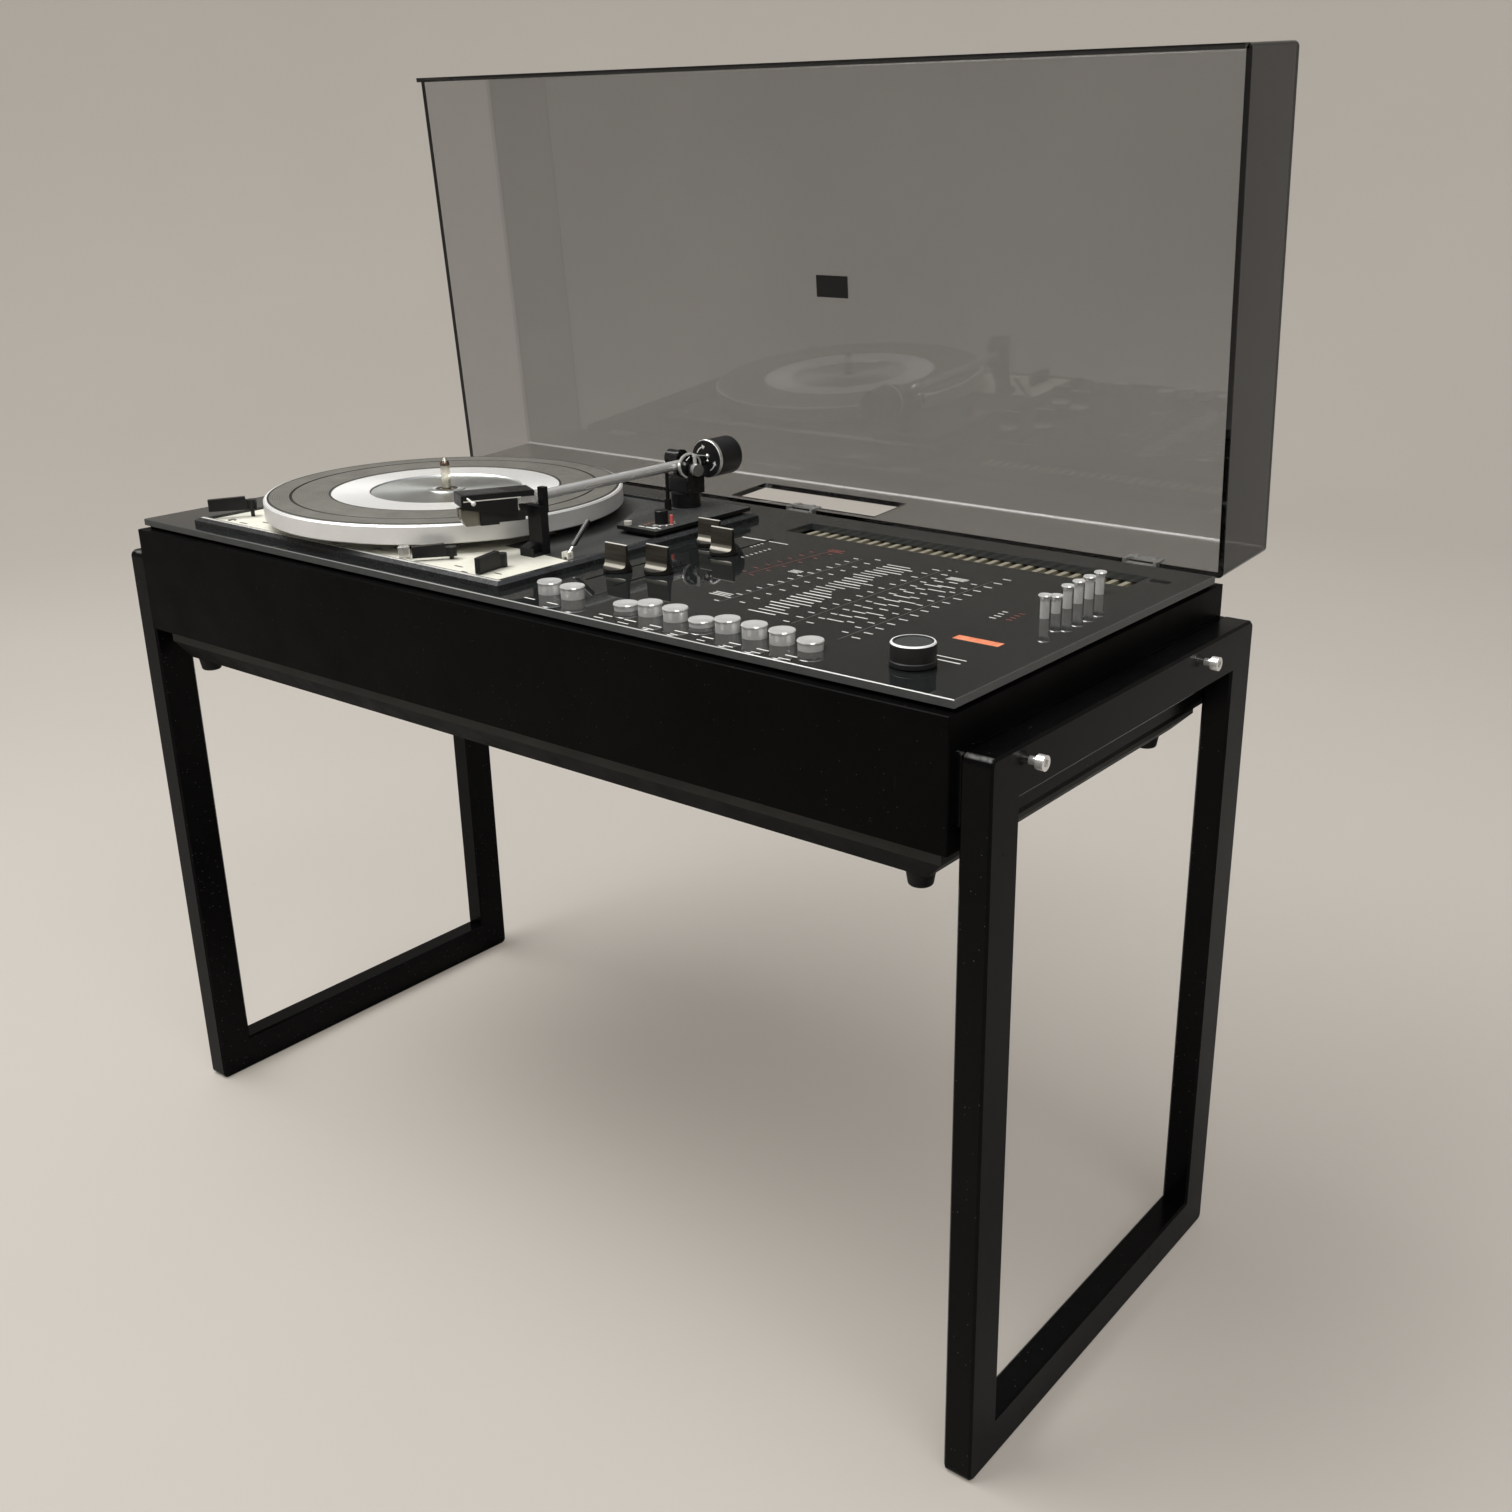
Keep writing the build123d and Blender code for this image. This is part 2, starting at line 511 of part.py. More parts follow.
# ---- controls -----------------------------------------------------------------------------
with BuildPart() as tuning_knob:
    base = PANEL_TOP + 0.4
    top = PANEL_TOP + TUNING_HEIGHT
    with BuildSketch(Plane(origin=at(TUNING_X, TUNING_Y, 0), x_dir=(1, 0, 0), z_dir=(0, -1, 0))):
        with BuildLine():
            Polyline(
                (0, 491.0), (SHAFT_RADIUS, 491.0), (SHAFT_RADIUS, base),
                (TUNING_RADIUS - 0.6, base), (TUNING_RADIUS, base + 0.6),
                (TUNING_RADIUS, base + 3.0), (TUNING_RADIUS - 0.5, base + 3.6),
                (TUNING_RADIUS - 0.5, top - 0.8), (TUNING_RADIUS - 1.1, top),
                (TUNING_RADIUS - 2.6, top), (TUNING_RADIUS - 2.9, top - 0.7), (0, top - 0.7),
                close=True,
            )
        make_face()
    revolve(axis=Axis(at(TUNING_X, TUNING_Y, 0), (0, 0, 1)))
save("tuning_knob", tuning_knob.part)

# The slide knob's outline seen from its side: distance behind its middle, height over the panel.
KNOB_OUTLINE = (
    (-KNOB_RADIUS, 0.5), (-KNOB_RADIUS, 2.5), (-6.0, 3.0), (-3.2, 3.9), (-2.3, 5.0),
    (-1.1, KNOB_HEIGHT), (0.3, KNOB_HEIGHT), (1.2, 9.0), (2.2, 6.5), (4.5, 4.4),
    (KNOB_RADIUS, 3.0), (KNOB_RADIUS, 0.5),
)
for number, (x, y) in enumerate(SLIDE_PLACES, start=1):
    with BuildPart() as slide_knob:
        with BuildSketch(Plane(origin=at(x, y, PANEL_TOP), x_dir=(0, 1, 0), z_dir=(1, 0, 0))):
            with BuildLine():
                Polyline(*KNOB_OUTLINE, close=True)
            make_face()
        extrude(amount=KNOB_RADIUS, both=True)
        post(x, y, (PANEL_TOP, PANEL_TOP + KNOB_HEIGHT + 1), KNOB_RADIUS, mode=Mode.INTERSECT)
        slab((x - 1.0, x + 1.0), (y - 3.0, y + 3.0), (499.0, PANEL_TOP + 1.0))
    save(f"slide_knob_{number}", slide_knob.part)


def flared_stem(x, y, low, base, top, stem, head):
    """A turned stem that flares to its head, with a shallow dish in the top."""
    centre = at(x, y, 0)
    with BuildPart() as turned:
        with BuildSketch(Plane(origin=centre, x_dir=(1, 0, 0), z_dir=(0, -1, 0))):
            with BuildLine():
                Polyline((0, top - 0.5), (0, low), (stem, low), (stem, base))
                Spline((stem, base), (head, top - 0.7), tangents=((0, 1), (0.55, 1)))
                Polyline((head, top - 0.7), (head - 0.35, top), (head - 1.0, top), (0, top - 0.5))
            make_face()
        revolve(axis=Axis(centre, (0, 0, 1)))
    return turned.part


for number, (x, depth) in enumerate(zip(BUTTON_XS, BUTTON_DEPTHS), start=1):
    top = PANEL_TOP + BUTTON_HEIGHT - depth
    flare = top - BUTTON_FLARE
    button = flared_stem(x, BUTTON_Y, 499.0 - depth, flare, top, BUTTON_STEM_RADIUS, BUTTON_TOP_RADIUS)
    save(f"push_button_{number}", button)

for number, (y, depth) in enumerate(zip(PRESET_YS, PRESET_DEPTHS), start=1):
    top = PANEL_TOP + PRESET_HEIGHT - depth
    knob = flared_stem(PRESET_X, y, 496.0 - depth, top - 4.5, top, PRESET_SHAFT_RADIUS, PRESET_HEAD_RADIUS)
    save(f"preset_knob_{number}", knob)

# ---- record player: chassis and drive -----------------------------------------------------
with BuildPart() as bezel:
    with BuildSketch(level(PANEL_TOP)):
        bar(BEZEL_X, BEZEL_Y)
    extrude(amount=BEZEL_TOP - PANEL_TOP)
    chamfer(bezel.faces().sort_by(Axis.Z)[-1].edges(), 2.0, 3.4)
    slab(PLATE_X, PLATE_Y, (PANEL_TOP - 1, BEZEL_TOP + 1), mode=Mode.SUBTRACT)
save("bezel", bezel.part)

LEVERS = {  # hub place, tip place, heights of the underside and the top
    "size_lever": ((-300.0, 52.5), (-318.0, 26.5), (516.8, 525.8)),
    "speed_lever": ((-66.0, 50.0), (-82.0, 29.0), (513.3, 521.2)),
    "start_lever": ((-20.3, 54.7), (-16.6, 29.5), (511.5, 522.0)),
}
TRIM_PLACE = (-93.0, 31.0)
LEVER_PIN = 1.5
LIFT_X = -33.6
LIFT_Y = 236.5
LIFT_RADIUS = 1.45
CUE_EAR = 1.4
CUE_HALF = 1.5
with BuildPart() as chassis_plate:
    clear = 0.15
    plate_x = (PLATE_X[0] + clear, PLATE_X[1] - clear)
    plate_y = (PLATE_Y[0] + clear, PLATE_Y[1] - clear)
    slab(plate_x, plate_y, (PLATE_BOTTOM, PLATE_TOP))
    through = (PLATE_BOTTOM - 1, PLATE_TOP + 1)
    post(SPINDLE_X, SPINDLE_Y, through, BEARING_RADIUS + RUNNING, mode=Mode.SUBTRACT)
    post(PULLEY_X, PULLEY_Y, through, 8.0, mode=Mode.SUBTRACT)
    post(IDLER_X, IDLER_Y, through, 2.0 + RUNNING, mode=Mode.SUBTRACT)
    post(LIFT_X, LIFT_Y, through, LIFT_RADIUS + 0.5, mode=Mode.SUBTRACT)
    for hub, tip, heights in LEVERS.values():
        post(hub[0], hub[1], through, LEVER_PIN + RUNNING, mode=Mode.SUBTRACT)
    post(TRIM_PLACE[0], TRIM_PLACE[1], through, LEVER_PIN + RUNNING, mode=Mode.SUBTRACT)
    for side in (-1, 1):
        near = CUE_X + side * (CUE_HALF + 0.1)
        far = near + side * CUE_EAR
        slab(sorted((near, far)), (CUE_Y - 2.5, CUE_Y + 2.5), (PLATE_TOP, CUE_Z + 2.5))
    axle((CUE_X - 5, CUE_X + 5), CUE_Y, CUE_Z, 0.9 + RUNNING, mode=Mode.SUBTRACT)
save("chassis_plate", chassis_plate.part)

SPRING_RADIUS = 8.5
SPRING_WIRE = 1.2
SPRING_TURNS = 4
with BuildPart() as suspension_springs:
    height = PLATE_BOTTOM - PILLAR_TOP - 2 * SPRING_WIRE
    for x, y in PILLARS:
        start = at(x, y, PILLAR_TOP + SPRING_WIRE)
        with BuildLine():
            coil = Helix(height / SPRING_TURNS, height, SPRING_RADIUS, center=start)
        with BuildSketch(Plane(origin=coil @ 0, z_dir=coil % 0)):
            Circle(SPRING_WIRE)
        sweep(path=coil, is_frenet=True)
save("suspension_springs", suspension_springs.part)

with BuildPart() as spindle:
    post(SPINDLE_X, SPINDLE_Y, (PLATE_BOTTOM - 4, PLATE_BOTTOM), 16.0)
    bearing_top = PLATTER_TOP - 0.6
    post(SPINDLE_X, SPINDLE_Y, (496.0, bearing_top), BEARING_RADIUS)
    straight_top = bearing_top + SPINDLE_LENGTH
    post(SPINDLE_X, SPINDLE_Y, (bearing_top, straight_top), SPINDLE_RADIUS)
    with Locations(at(SPINDLE_X, SPINDLE_Y, straight_top + 1.9)):
        Cone(SPINDLE_RADIUS, 1.2, 3.8)
save("spindle", spindle.part)

DISC_RADIUS = 57.6
MAT_INNER = 86.0
MAT_OUTER = 132.3
HUB_RADIUS = 13.5
WEB_TOP = PLATTER_TOP - 2.0
WEB_BOTTOM = WEB_TOP - 3.0
with BuildPart() as platter:
    centre = at(SPINDLE_X, SPINDLE_Y, 0)
    bore = BEARING_RADIUS + RUNNING
    with BuildSketch(Plane(origin=centre, x_dir=(1, 0, 0), z_dir=(0, -1, 0))):
        with BuildLine():
            Polyline(
                (bore, PLATE_TOP + 1.0), (HUB_RADIUS - 2, PLATE_TOP + 1.0),
                (HUB_RADIUS - 2, WEB_BOTTOM), (DRIVE_RIM_RADIUS, WEB_BOTTOM),
                (DRIVE_RIM_RADIUS, PLATTER_BOTTOM), (PLATTER_RADIUS - 0.8, PLATTER_BOTTOM),
                (PLATTER_RADIUS, PLATTER_BOTTOM + 0.8), (PLATTER_RADIUS, PLATTER_TOP - 1.2),
                (PLATTER_RADIUS - 1.2, PLATTER_TOP), (MAT_OUTER + 0.1, PLATTER_TOP),
                (MAT_OUTER + 0.1, WEB_TOP), (MAT_INNER - 0.1, WEB_TOP),
                (MAT_INNER - 0.1, PLATTER_TOP), (DISC_RADIUS, PLATTER_TOP),
                (DISC_RADIUS - 1.0, PLATTER_TOP - 1.0), (HUB_RADIUS + 0.6, PLATTER_TOP - 1.0),
                (HUB_RADIUS, PLATTER_TOP - 0.3), (bore, PLATTER_TOP - 0.3),
                close=True,
            )
        make_face()
    revolve(axis=Axis(centre, (0, 0, 1)))
save("platter", platter.part)

GROOVE_RADIUS = 115.0
with BuildPart() as platter_mat:
    mat_top = WEB_TOP + MAT_THICKNESS
    with BuildSketch(Plane(origin=centre, x_dir=(1, 0, 0), z_dir=(0, -1, 0))):
        with BuildLine():
            Polyline(
                (MAT_INNER, WEB_TOP), (MAT_OUTER, WEB_TOP), (MAT_OUTER, mat_top),
                (GROOVE_RADIUS + 1, mat_top), (GROOVE_RADIUS, mat_top - 1.0),
                (GROOVE_RADIUS - 1, mat_top), (MAT_INNER, mat_top),
                close=True,
            )
        make_face()
    revolve(axis=Axis(centre, (0, 0, 1)))
save("platter_mat", platter_mat.part)

MOTOR_RADIUS = 28.0
with BuildPart() as motor:
    post(PULLEY_X, PULLEY_Y, (462.0, 498.0), MOTOR_RADIUS)
    for turn in range(3):
        angle = radians(30 + 120 * turn)
        x = PULLEY_X + (MOTOR_RADIUS - 5) * cos(angle)
        y = PULLEY_Y + (MOTOR_RADIUS - 5) * sin(angle)
        post(x, y, (497.0, PLATE_BOTTOM), 3.5)
    post(PULLEY_X, PULLEY_Y, (470.0, 499.0), 1.5 + RUNNING, mode=Mode.SUBTRACT)
save("motor", motor.part)

DRIVE_Z = (519.5, 525.5)
with BuildPart() as motor_pulley:
    post(PULLEY_X, PULLEY_Y, (472.0, DRIVE_Z[0]), 1.5)
    post(PULLEY_X, PULLEY_Y, DRIVE_Z, PULLEY_RADIUS - RUNNING)
save("motor_pulley", motor_pulley.part)

with BuildPart() as idler_wheel:
    post(IDLER_X, IDLER_Y, (504.0, DRIVE_Z[0]), 2.0)
    post(IDLER_X, IDLER_Y, (DRIVE_Z[0], DRIVE_Z[1] - 1.5), IDLER_RADIUS - RUNNING)
    groove = (DRIVE_Z[1] - 2.5, DRIVE_Z[1])
    post(IDLER_X, IDLER_Y, groove, IDLER_RADIUS - 4, mode=Mode.SUBTRACT)
    post(IDLER_X, IDLER_Y, (DRIVE_Z[0], DRIVE_Z[1]), 5.0)
save("idler_wheel", idler_wheel.part)

HUB_STEP = 1.5
for name, (hub, tip, (low, top)) in LEVERS.items():
    reach = ((tip[0] - hub[0]) ** 2 + (tip[1] - hub[1]) ** 2) ** 0.5
    forward = ((tip[0] - hub[0]) / reach, (tip[1] - hub[1]) / reach, 0)
    side_on = Plane(origin=at(hub[0], hub[1], 0), x_dir=forward, z_dir=(-forward[1], forward[0], 0))
    if side_on.y_dir.Z < 0:
        side_on = Plane(origin=side_on.origin, x_dir=forward, z_dir=(forward[1], -forward[0], 0))
    with BuildPart() as lever:
        with BuildSketch(side_on):
            with BuildLine():
                Polyline((-3.5, low), (reach, low), (reach, top), (4.5, top + 1.0), (4.0, top - HUB_STEP),
                         (-3.5, top - HUB_STEP), close=True)
            make_face()
        extrude(amount=2.2, both=True)
        fillet(lever.edges().filter_by(Axis.Z), 0.9)
        post(hub[0], hub[1], (low, top - HUB_STEP), 3.8)
        post(hub[0], hub[1], (506.0, low), LEVER_PIN)
    save(name, lever.part)

with BuildPart() as trim_knob:
    post(TRIM_PLACE[0], TRIM_PLACE[1], (PLATE_TOP + 0.4, 520.0), 4.0)
    post(TRIM_PLACE[0], TRIM_PLACE[1], (506.0, PLATE_TOP + 0.4), LEVER_PIN)
    chamfer(trim_knob.edges().group_by(Axis.Z)[-1], 0.6)
save("trim_knob", trim_knob.part)

# ---- record player: arm -------------------------------------------------------------------
DIAL_PLACE = (-5.0, 198.0)
DIAL_BOTTOM = ARM_PLATE_TOP + 0.4
SCREW_PLACE = (-21.0, 179.0)
BASE_RADIUS = 11.2
BASE_SHIFT = (0.2, -1.5)  # the pillar's middle, measured from the yoke's shaft
BASE_TOP = 528.2
YOKE_SHAFT = 4.0


def arm_plate_outline(height, inset):
    with BuildSketch(level(height)) as outline:
        with BuildLine():
            Polyline((-28, 174.4), (11, 174.7), (11, 281), (-55, 281), (-55, 225), close=True)
        make_face()
        offset(amount=-inset, kind=Kind.INTERSECTION, mode=Mode.REPLACE)
    return outline.sketch


with BuildPart() as arm_base:
    extrude(arm_plate_outline(PLATE_TOP, 6.0), amount=ARM_PLATE_BOTTOM - PLATE_TOP)
    extrude(arm_plate_outline(ARM_PLATE_BOTTOM, 0.01), amount=ARM_PLATE_TOP - ARM_PLATE_BOTTOM)
    pillar = (ARM_X + BASE_SHIFT[0], ARM_Y + BASE_SHIFT[1])
    post(pillar[0], pillar[1], (ARM_PLATE_TOP, ARM_PLATE_TOP + 1.5), BASE_RADIUS + 0.4)
    post(pillar[0], pillar[1], (ARM_PLATE_TOP, BASE_TOP), BASE_RADIUS)
    post(ARM_X, ARM_Y, (518.0, BASE_TOP + 1), YOKE_SHAFT + RUNNING, mode=Mode.SUBTRACT)
    post(SCREW_PLACE[0], SCREW_PLACE[1], (ARM_PLATE_TOP, 520.5), 2.9)
    post(LIFT_X, LIFT_Y, (ARM_PLATE_TOP, 525.5), 2.7)
    post(LIFT_X, LIFT_Y, (PLATE_TOP - 1, 526.0), LIFT_RADIUS + RUNNING, mode=Mode.SUBTRACT)
    dial_bore = (PLATE_TOP + 0.5, ARM_PLATE_TOP + 1)
    post(DIAL_PLACE[0], DIAL_PLACE[1], dial_bore, 1.5 + RUNNING, mode=Mode.SUBTRACT)
save("arm_base", arm_base.part)

with BuildPart() as antiskate_dial:
    post(DIAL_PLACE[0], DIAL_PLACE[1], (PLATE_TOP + 0.8, DIAL_BOTTOM), 1.5)
    post(DIAL_PLACE[0], DIAL_PLACE[1], (DIAL_BOTTOM, 527.3), 5.0)
    chamfer(antiskate_dial.edges().group_by(Axis.Z)[-1], 0.5)
save("antiskate_dial", antiskate_dial.part)

LIFT_TOP = ARM_Z - ARM_TUBE_RADIUS - 0.5
with BuildPart() as lift_rod:
    post(LIFT_X, LIFT_Y, (500.0, LIFT_TOP), LIFT_RADIUS)
save("lift_rod", lift_rod.part)

yoke_turn = radians(YOKE_TURN)
PIVOT_DIRECTION = (cos(yoke_turn), -sin(yoke_turn), 0)
PIVOT_AXIS = Plane(origin=at(ARM_X, ARM_Y, PIVOT_Z), x_dir=(0, 0, 1), z_dir=PIVOT_DIRECTION)


def along_pivot(start, end, radius, mode=Mode.ADD):
    """A round bar along the lifting pivot's axis, between two distances from its middle."""
    with BuildSketch(PIVOT_AXIS.offset(start)) as outline:
        Circle(radius)
    extrude(outline.sketch, amount=end - start, mode=mode)


YOKE_HALF = 12.6
YOKE_DEPTH = 16.3
YOKE_BLOCK_TOP = 541.0
EAR_INNER = 7.9
SMALL_EAR_RADIUS = 4.0
LARGE_EAR_RADIUS = 6.0
SIDE_DISC_RADIUS = 9.8
SIDE_DISC = (8.6, 11.0)
SIDE_DISC_LIP = 1.3
SIDE_DISC_LIP_DEPTH = 0.6
SIDE_DISC_PLACE = (2.9, 2.9)  # its middle, above the pivot and in front of it
PIVOT_RADIUS = 1.55
PIVOT_SCREW_RADIUS = 4.7
PIVOT_SCREW_LENGTH = 4.9
ARM_BLOCK_RADIUS = 5.2
ARM_BLOCK_LENGTH = 10.0
BLOCK_CLEARANCE = 2.2
REAR_KNOB_Z = ARM_Z + 2.4
REAR_KNOB_RADIUS = 6.2
REAR_COLLAR_RADIUS = 6.9


def side_disc(start, end, radius, mode=Mode.ADD):
    """A disc on the yoke's outer ear, between two distances along the pivot's axis."""
    with BuildSketch(PIVOT_AXIS.offset(start)) as outline:
        with Locations(SIDE_DISC_PLACE):
            Circle(radius)
    extrude(outline.sketch, amount=end - start, mode=mode)


with BuildPart() as arm_yoke:
    block_bottom = BASE_TOP + 0.4
    foot = Plane(origin=at(ARM_X, ARM_Y, block_bottom), x_dir=PIVOT_DIRECTION, z_dir=(0, 0, 1))
    with BuildSketch(foot) as top_view:
        Rectangle(2 * YOKE_HALF, YOKE_DEPTH)
    extrude(top_view.sketch, amount=YOKE_BLOCK_TOP - block_bottom)
    with BuildSketch(foot) as small_cheek:
        with Locations((-(YOKE_HALF + EAR_INNER) / 2, 0)):
            Rectangle(YOKE_HALF - EAR_INNER, 2 * SMALL_EAR_RADIUS)
    extrude(small_cheek.sketch, amount=PIVOT_Z - block_bottom)
    along_pivot(-YOKE_HALF, -EAR_INNER, SMALL_EAR_RADIUS)
    side_disc(SIDE_DISC[0], SIDE_DISC[1], SIDE_DISC_RADIUS)
    lip_floor = SIDE_DISC[1] - SIDE_DISC_LIP_DEPTH
    side_disc(lip_floor, SIDE_DISC[1], SIDE_DISC_RADIUS - SIDE_DISC_LIP, mode=Mode.SUBTRACT)
    with BuildSketch(foot) as large_cheek:
        with Locations(((YOKE_HALF + EAR_INNER) / 2, 0)):
            Rectangle(YOKE_HALF - EAR_INNER, 2 * LARGE_EAR_RADIUS)
    extrude(large_cheek.sketch, amount=PIVOT_Z - block_bottom)
    along_pivot(EAR_INNER, YOKE_HALF, LARGE_EAR_RADIUS)
    along_pivot(-EAR_INNER, EAR_INNER, ARM_BLOCK_RADIUS + BLOCK_CLEARANCE, mode=Mode.SUBTRACT)
    post(ARM_X, ARM_Y, (519.0, block_bottom), YOKE_SHAFT)
    along_pivot(YOKE_HALF, YOKE_HALF + PIVOT_SCREW_LENGTH, PIVOT_SCREW_RADIUS)
    axle((ARM_X - 20.5, ARM_X - 9.5), ARM_Y + 4, REAR_KNOB_Z, REAR_KNOB_RADIUS)
    axle((ARM_X - 9.5, ARM_X - 7.0), ARM_Y + 4, REAR_KNOB_Z, REAR_COLLAR_RADIUS)
    along_pivot(-YOKE_HALF - 1, YOKE_HALF, PIVOT_RADIUS + RUNNING, mode=Mode.SUBTRACT)
save("arm_yoke", arm_yoke.part)

ARM_AXIS = Plane(origin=at(ARM_X, ARM_Y, ARM_Z), x_dir=(1, 0, 0), z_dir=(0, -1, 0))
head_turn = radians(HEAD_OFFSET)


def head_level(height):
    """A horizontal plane at the tube's head end, with x along the headshell."""
    return Plane(
        origin=at(ARM_X, HEAD_Y, height),
        x_dir=(-sin(head_turn), -cos(head_turn), 0),
        z_dir=(0, 0, 1),
    )


def head_block(lengths, widths, heights, mode=Mode.ADD):
    """A block in the headshell's own frame: along it, across it and two heights."""
    with BuildSketch(head_level(heights[0])) as outline:
        middle = ((lengths[0] + lengths[1]) / 2, (widths[0] + widths[1]) / 2)
        with Locations(middle):
            Rectangle(lengths[1] - lengths[0], widths[1] - widths[0])
    extrude(outline.sketch, amount=heights[1] - heights[0], mode=mode)


def arm_rod(start, end, radius, mode=Mode.ADD):
    """A round bar along the arm; distances are measured forward from the pivot."""
    with BuildSketch(ARM_AXIS.offset(start)) as outline:
        Circle(radius)
    extrude(outline.sketch, amount=end - start, mode=mode)


HEAD_PLATE = (553.0, 557.0)
HEAD_U = (2.0, 53.0)
ARM_ROD_RADIUS = 3.0
REAR_SLEEVE_RADIUS = 4.4
ARM_NUT_LENGTH = 5.0
ARM_NUT_RADIUS = 4.8
with BuildPart() as tone_arm:
    with Locations(Location(at(ARM_X, ARM_Y, PIVOT_Z), (90, 0, 0))):
        Cylinder(ARM_BLOCK_RADIUS, ARM_BLOCK_LENGTH)
    along_pivot(-YOKE_HALF + 0.4, YOKE_HALF - 0.4, PIVOT_RADIUS)
    tube_end = ARM_Y - HEAD_Y
    arm_rod(4, tube_end, ARM_TUBE_RADIUS)
    arm_rod(tube_end - ARM_NUT_LENGTH, tube_end, ARM_NUT_RADIUS)
    arm_rod(-55, -4, ARM_ROD_RADIUS)
    arm_rod(-20, -4, REAR_SLEEVE_RADIUS)
    head_block((0, 12), (-3, 3), (ARM_Z - 3.0, HEAD_PLATE[0]))
save("tone_arm", tone_arm.part)

SKIRT_START = 14.0
SKIRT_WALL = 1.5
# The skirt's lower edge: distance along the headshell and height.
SKIRT_EDGE = ((SKIRT_START, 539.5), (49.0, 547.0), (HEAD_U[1], 549.0))
with BuildPart() as headshell:
    head_half = HEAD_WIDTH / 2
    head_block(HEAD_U, (-head_half, head_half), HEAD_PLATE)
    skirt = head_level(0)
    skirt_side = Plane(origin=skirt.origin, x_dir=skirt.x_dir, z_dir=-skirt.y_dir)
    with BuildSketch(skirt_side):
        with BuildLine():
            Polyline((SKIRT_START, HEAD_PLATE[0]), *SKIRT_EDGE, (HEAD_U[1], HEAD_PLATE[0]), close=True)
        make_face()
    extrude(amount=head_half, both=True)
    hollow = (-head_half + SKIRT_WALL, head_half - SKIRT_WALL)
    head_block((SKIRT_START - 1, HEAD_U[1] - SKIRT_WALL), hollow, (530.0, HEAD_PLATE[0]), mode=Mode.SUBTRACT)
save("headshell", headshell.part)

STYLUS_Z = 535.0
CARTRIDGE_HALF = 7.5
with BuildPart() as cartridge:
    head_block((27.0, 40.0), (-CARTRIDGE_HALF, CARTRIDGE_HALF), (STYLUS_Z, HEAD_PLATE[0]))
    with BuildSketch(skirt_side):
        with BuildLine():
            Polyline((40, STYLUS_Z), (49.5, STYLUS_Z), (HEAD_U[1], 541), (HEAD_U[1], 546.5), (40, 546.5),
                     close=True)
        make_face()
    extrude(amount=5.5, both=True)
    head_block((8.0, 27.0), (0.0, 6.0), (536.0, 542.0))
save("cartridge", cartridge.part)

with BuildPart() as counterweight:
    arm_rod(-51, -23, WEIGHT_RADIUS)
    fillet(counterweight.edges().group_by(Axis.Y)[-1], 2.0)
    chamfer(counterweight.edges().group_by(Axis.Y)[0], 0.8)
    arm_rod(-52, -22, ARM_ROD_RADIUS + RUNNING, mode=Mode.SUBTRACT)
save("counterweight", counterweight.part)

REST_X = (-35.0, -22.0)
REST_TOP = 545.0
REST_HOOK_TOP = 558.0
with BuildPart() as arm_rest:
    with BuildSketch(Plane(origin=at(REST_X[0], 0, 0), x_dir=(0, 1, 0), z_dir=(1, 0, 0))):
        with BuildLine():
            Polyline((85, PLATE_TOP), (99, PLATE_TOP), (99, 519.6), (94.5, 519.6), (85, 516.5), close=True)
        make_face()
    extrude(amount=REST_X[1] - REST_X[0])
    slab((-26.0, -21.0), (86.0, 94.0), (PLATE_TOP + 2, 521.0), mode=Mode.SUBTRACT)
    slab(REST_X, (94.5, 101.5), (PLATE_TOP, REST_TOP))
    with BuildSketch(Plane(origin=at(-37.0, 101.5, REST_TOP), x_dir=(1, 0, 0), z_dir=(0, -1, 0))):
        Circle(8.5)
    extrude(amount=5.5)
    slab((-46.0, -28.0), (95.0, 102.0), (REST_TOP, REST_TOP + 9), mode=Mode.SUBTRACT)
    slab((-27.4, -22.0), (98.0, 102.5), (REST_TOP - 5, REST_HOOK_TOP))
save("arm_rest", arm_rest.part)

cue_rise = radians(CUE_ANGLE)
CUE_GRIP_START = 8.0
with BuildPart() as cue_lever:
    axle((CUE_X - CUE_HALF, CUE_X + CUE_HALF), CUE_Y, CUE_Z, 2.1)
    axle((CUE_X - CUE_HALF - CUE_EAR, CUE_X + CUE_HALF + CUE_EAR), CUE_Y, CUE_Z, 0.9)
    stick = Plane(origin=at(CUE_X, CUE_Y, CUE_Z), x_dir=(1, 0, 0), z_dir=(0, cos(cue_rise), sin(cue_rise)))
    with BuildSketch(stick):
        Circle(1.0)
    extrude(amount=CUE_LENGTH - 2)
    with BuildSketch(stick.offset(CUE_GRIP_START)):
        Circle(1.8)
    extrude(amount=CUE_LENGTH - CUE_GRIP_START)
save("cue_lever", cue_lever.part)
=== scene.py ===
import json
import math
import random

import bmesh
import bpy
from mathutils import Matrix, Vector


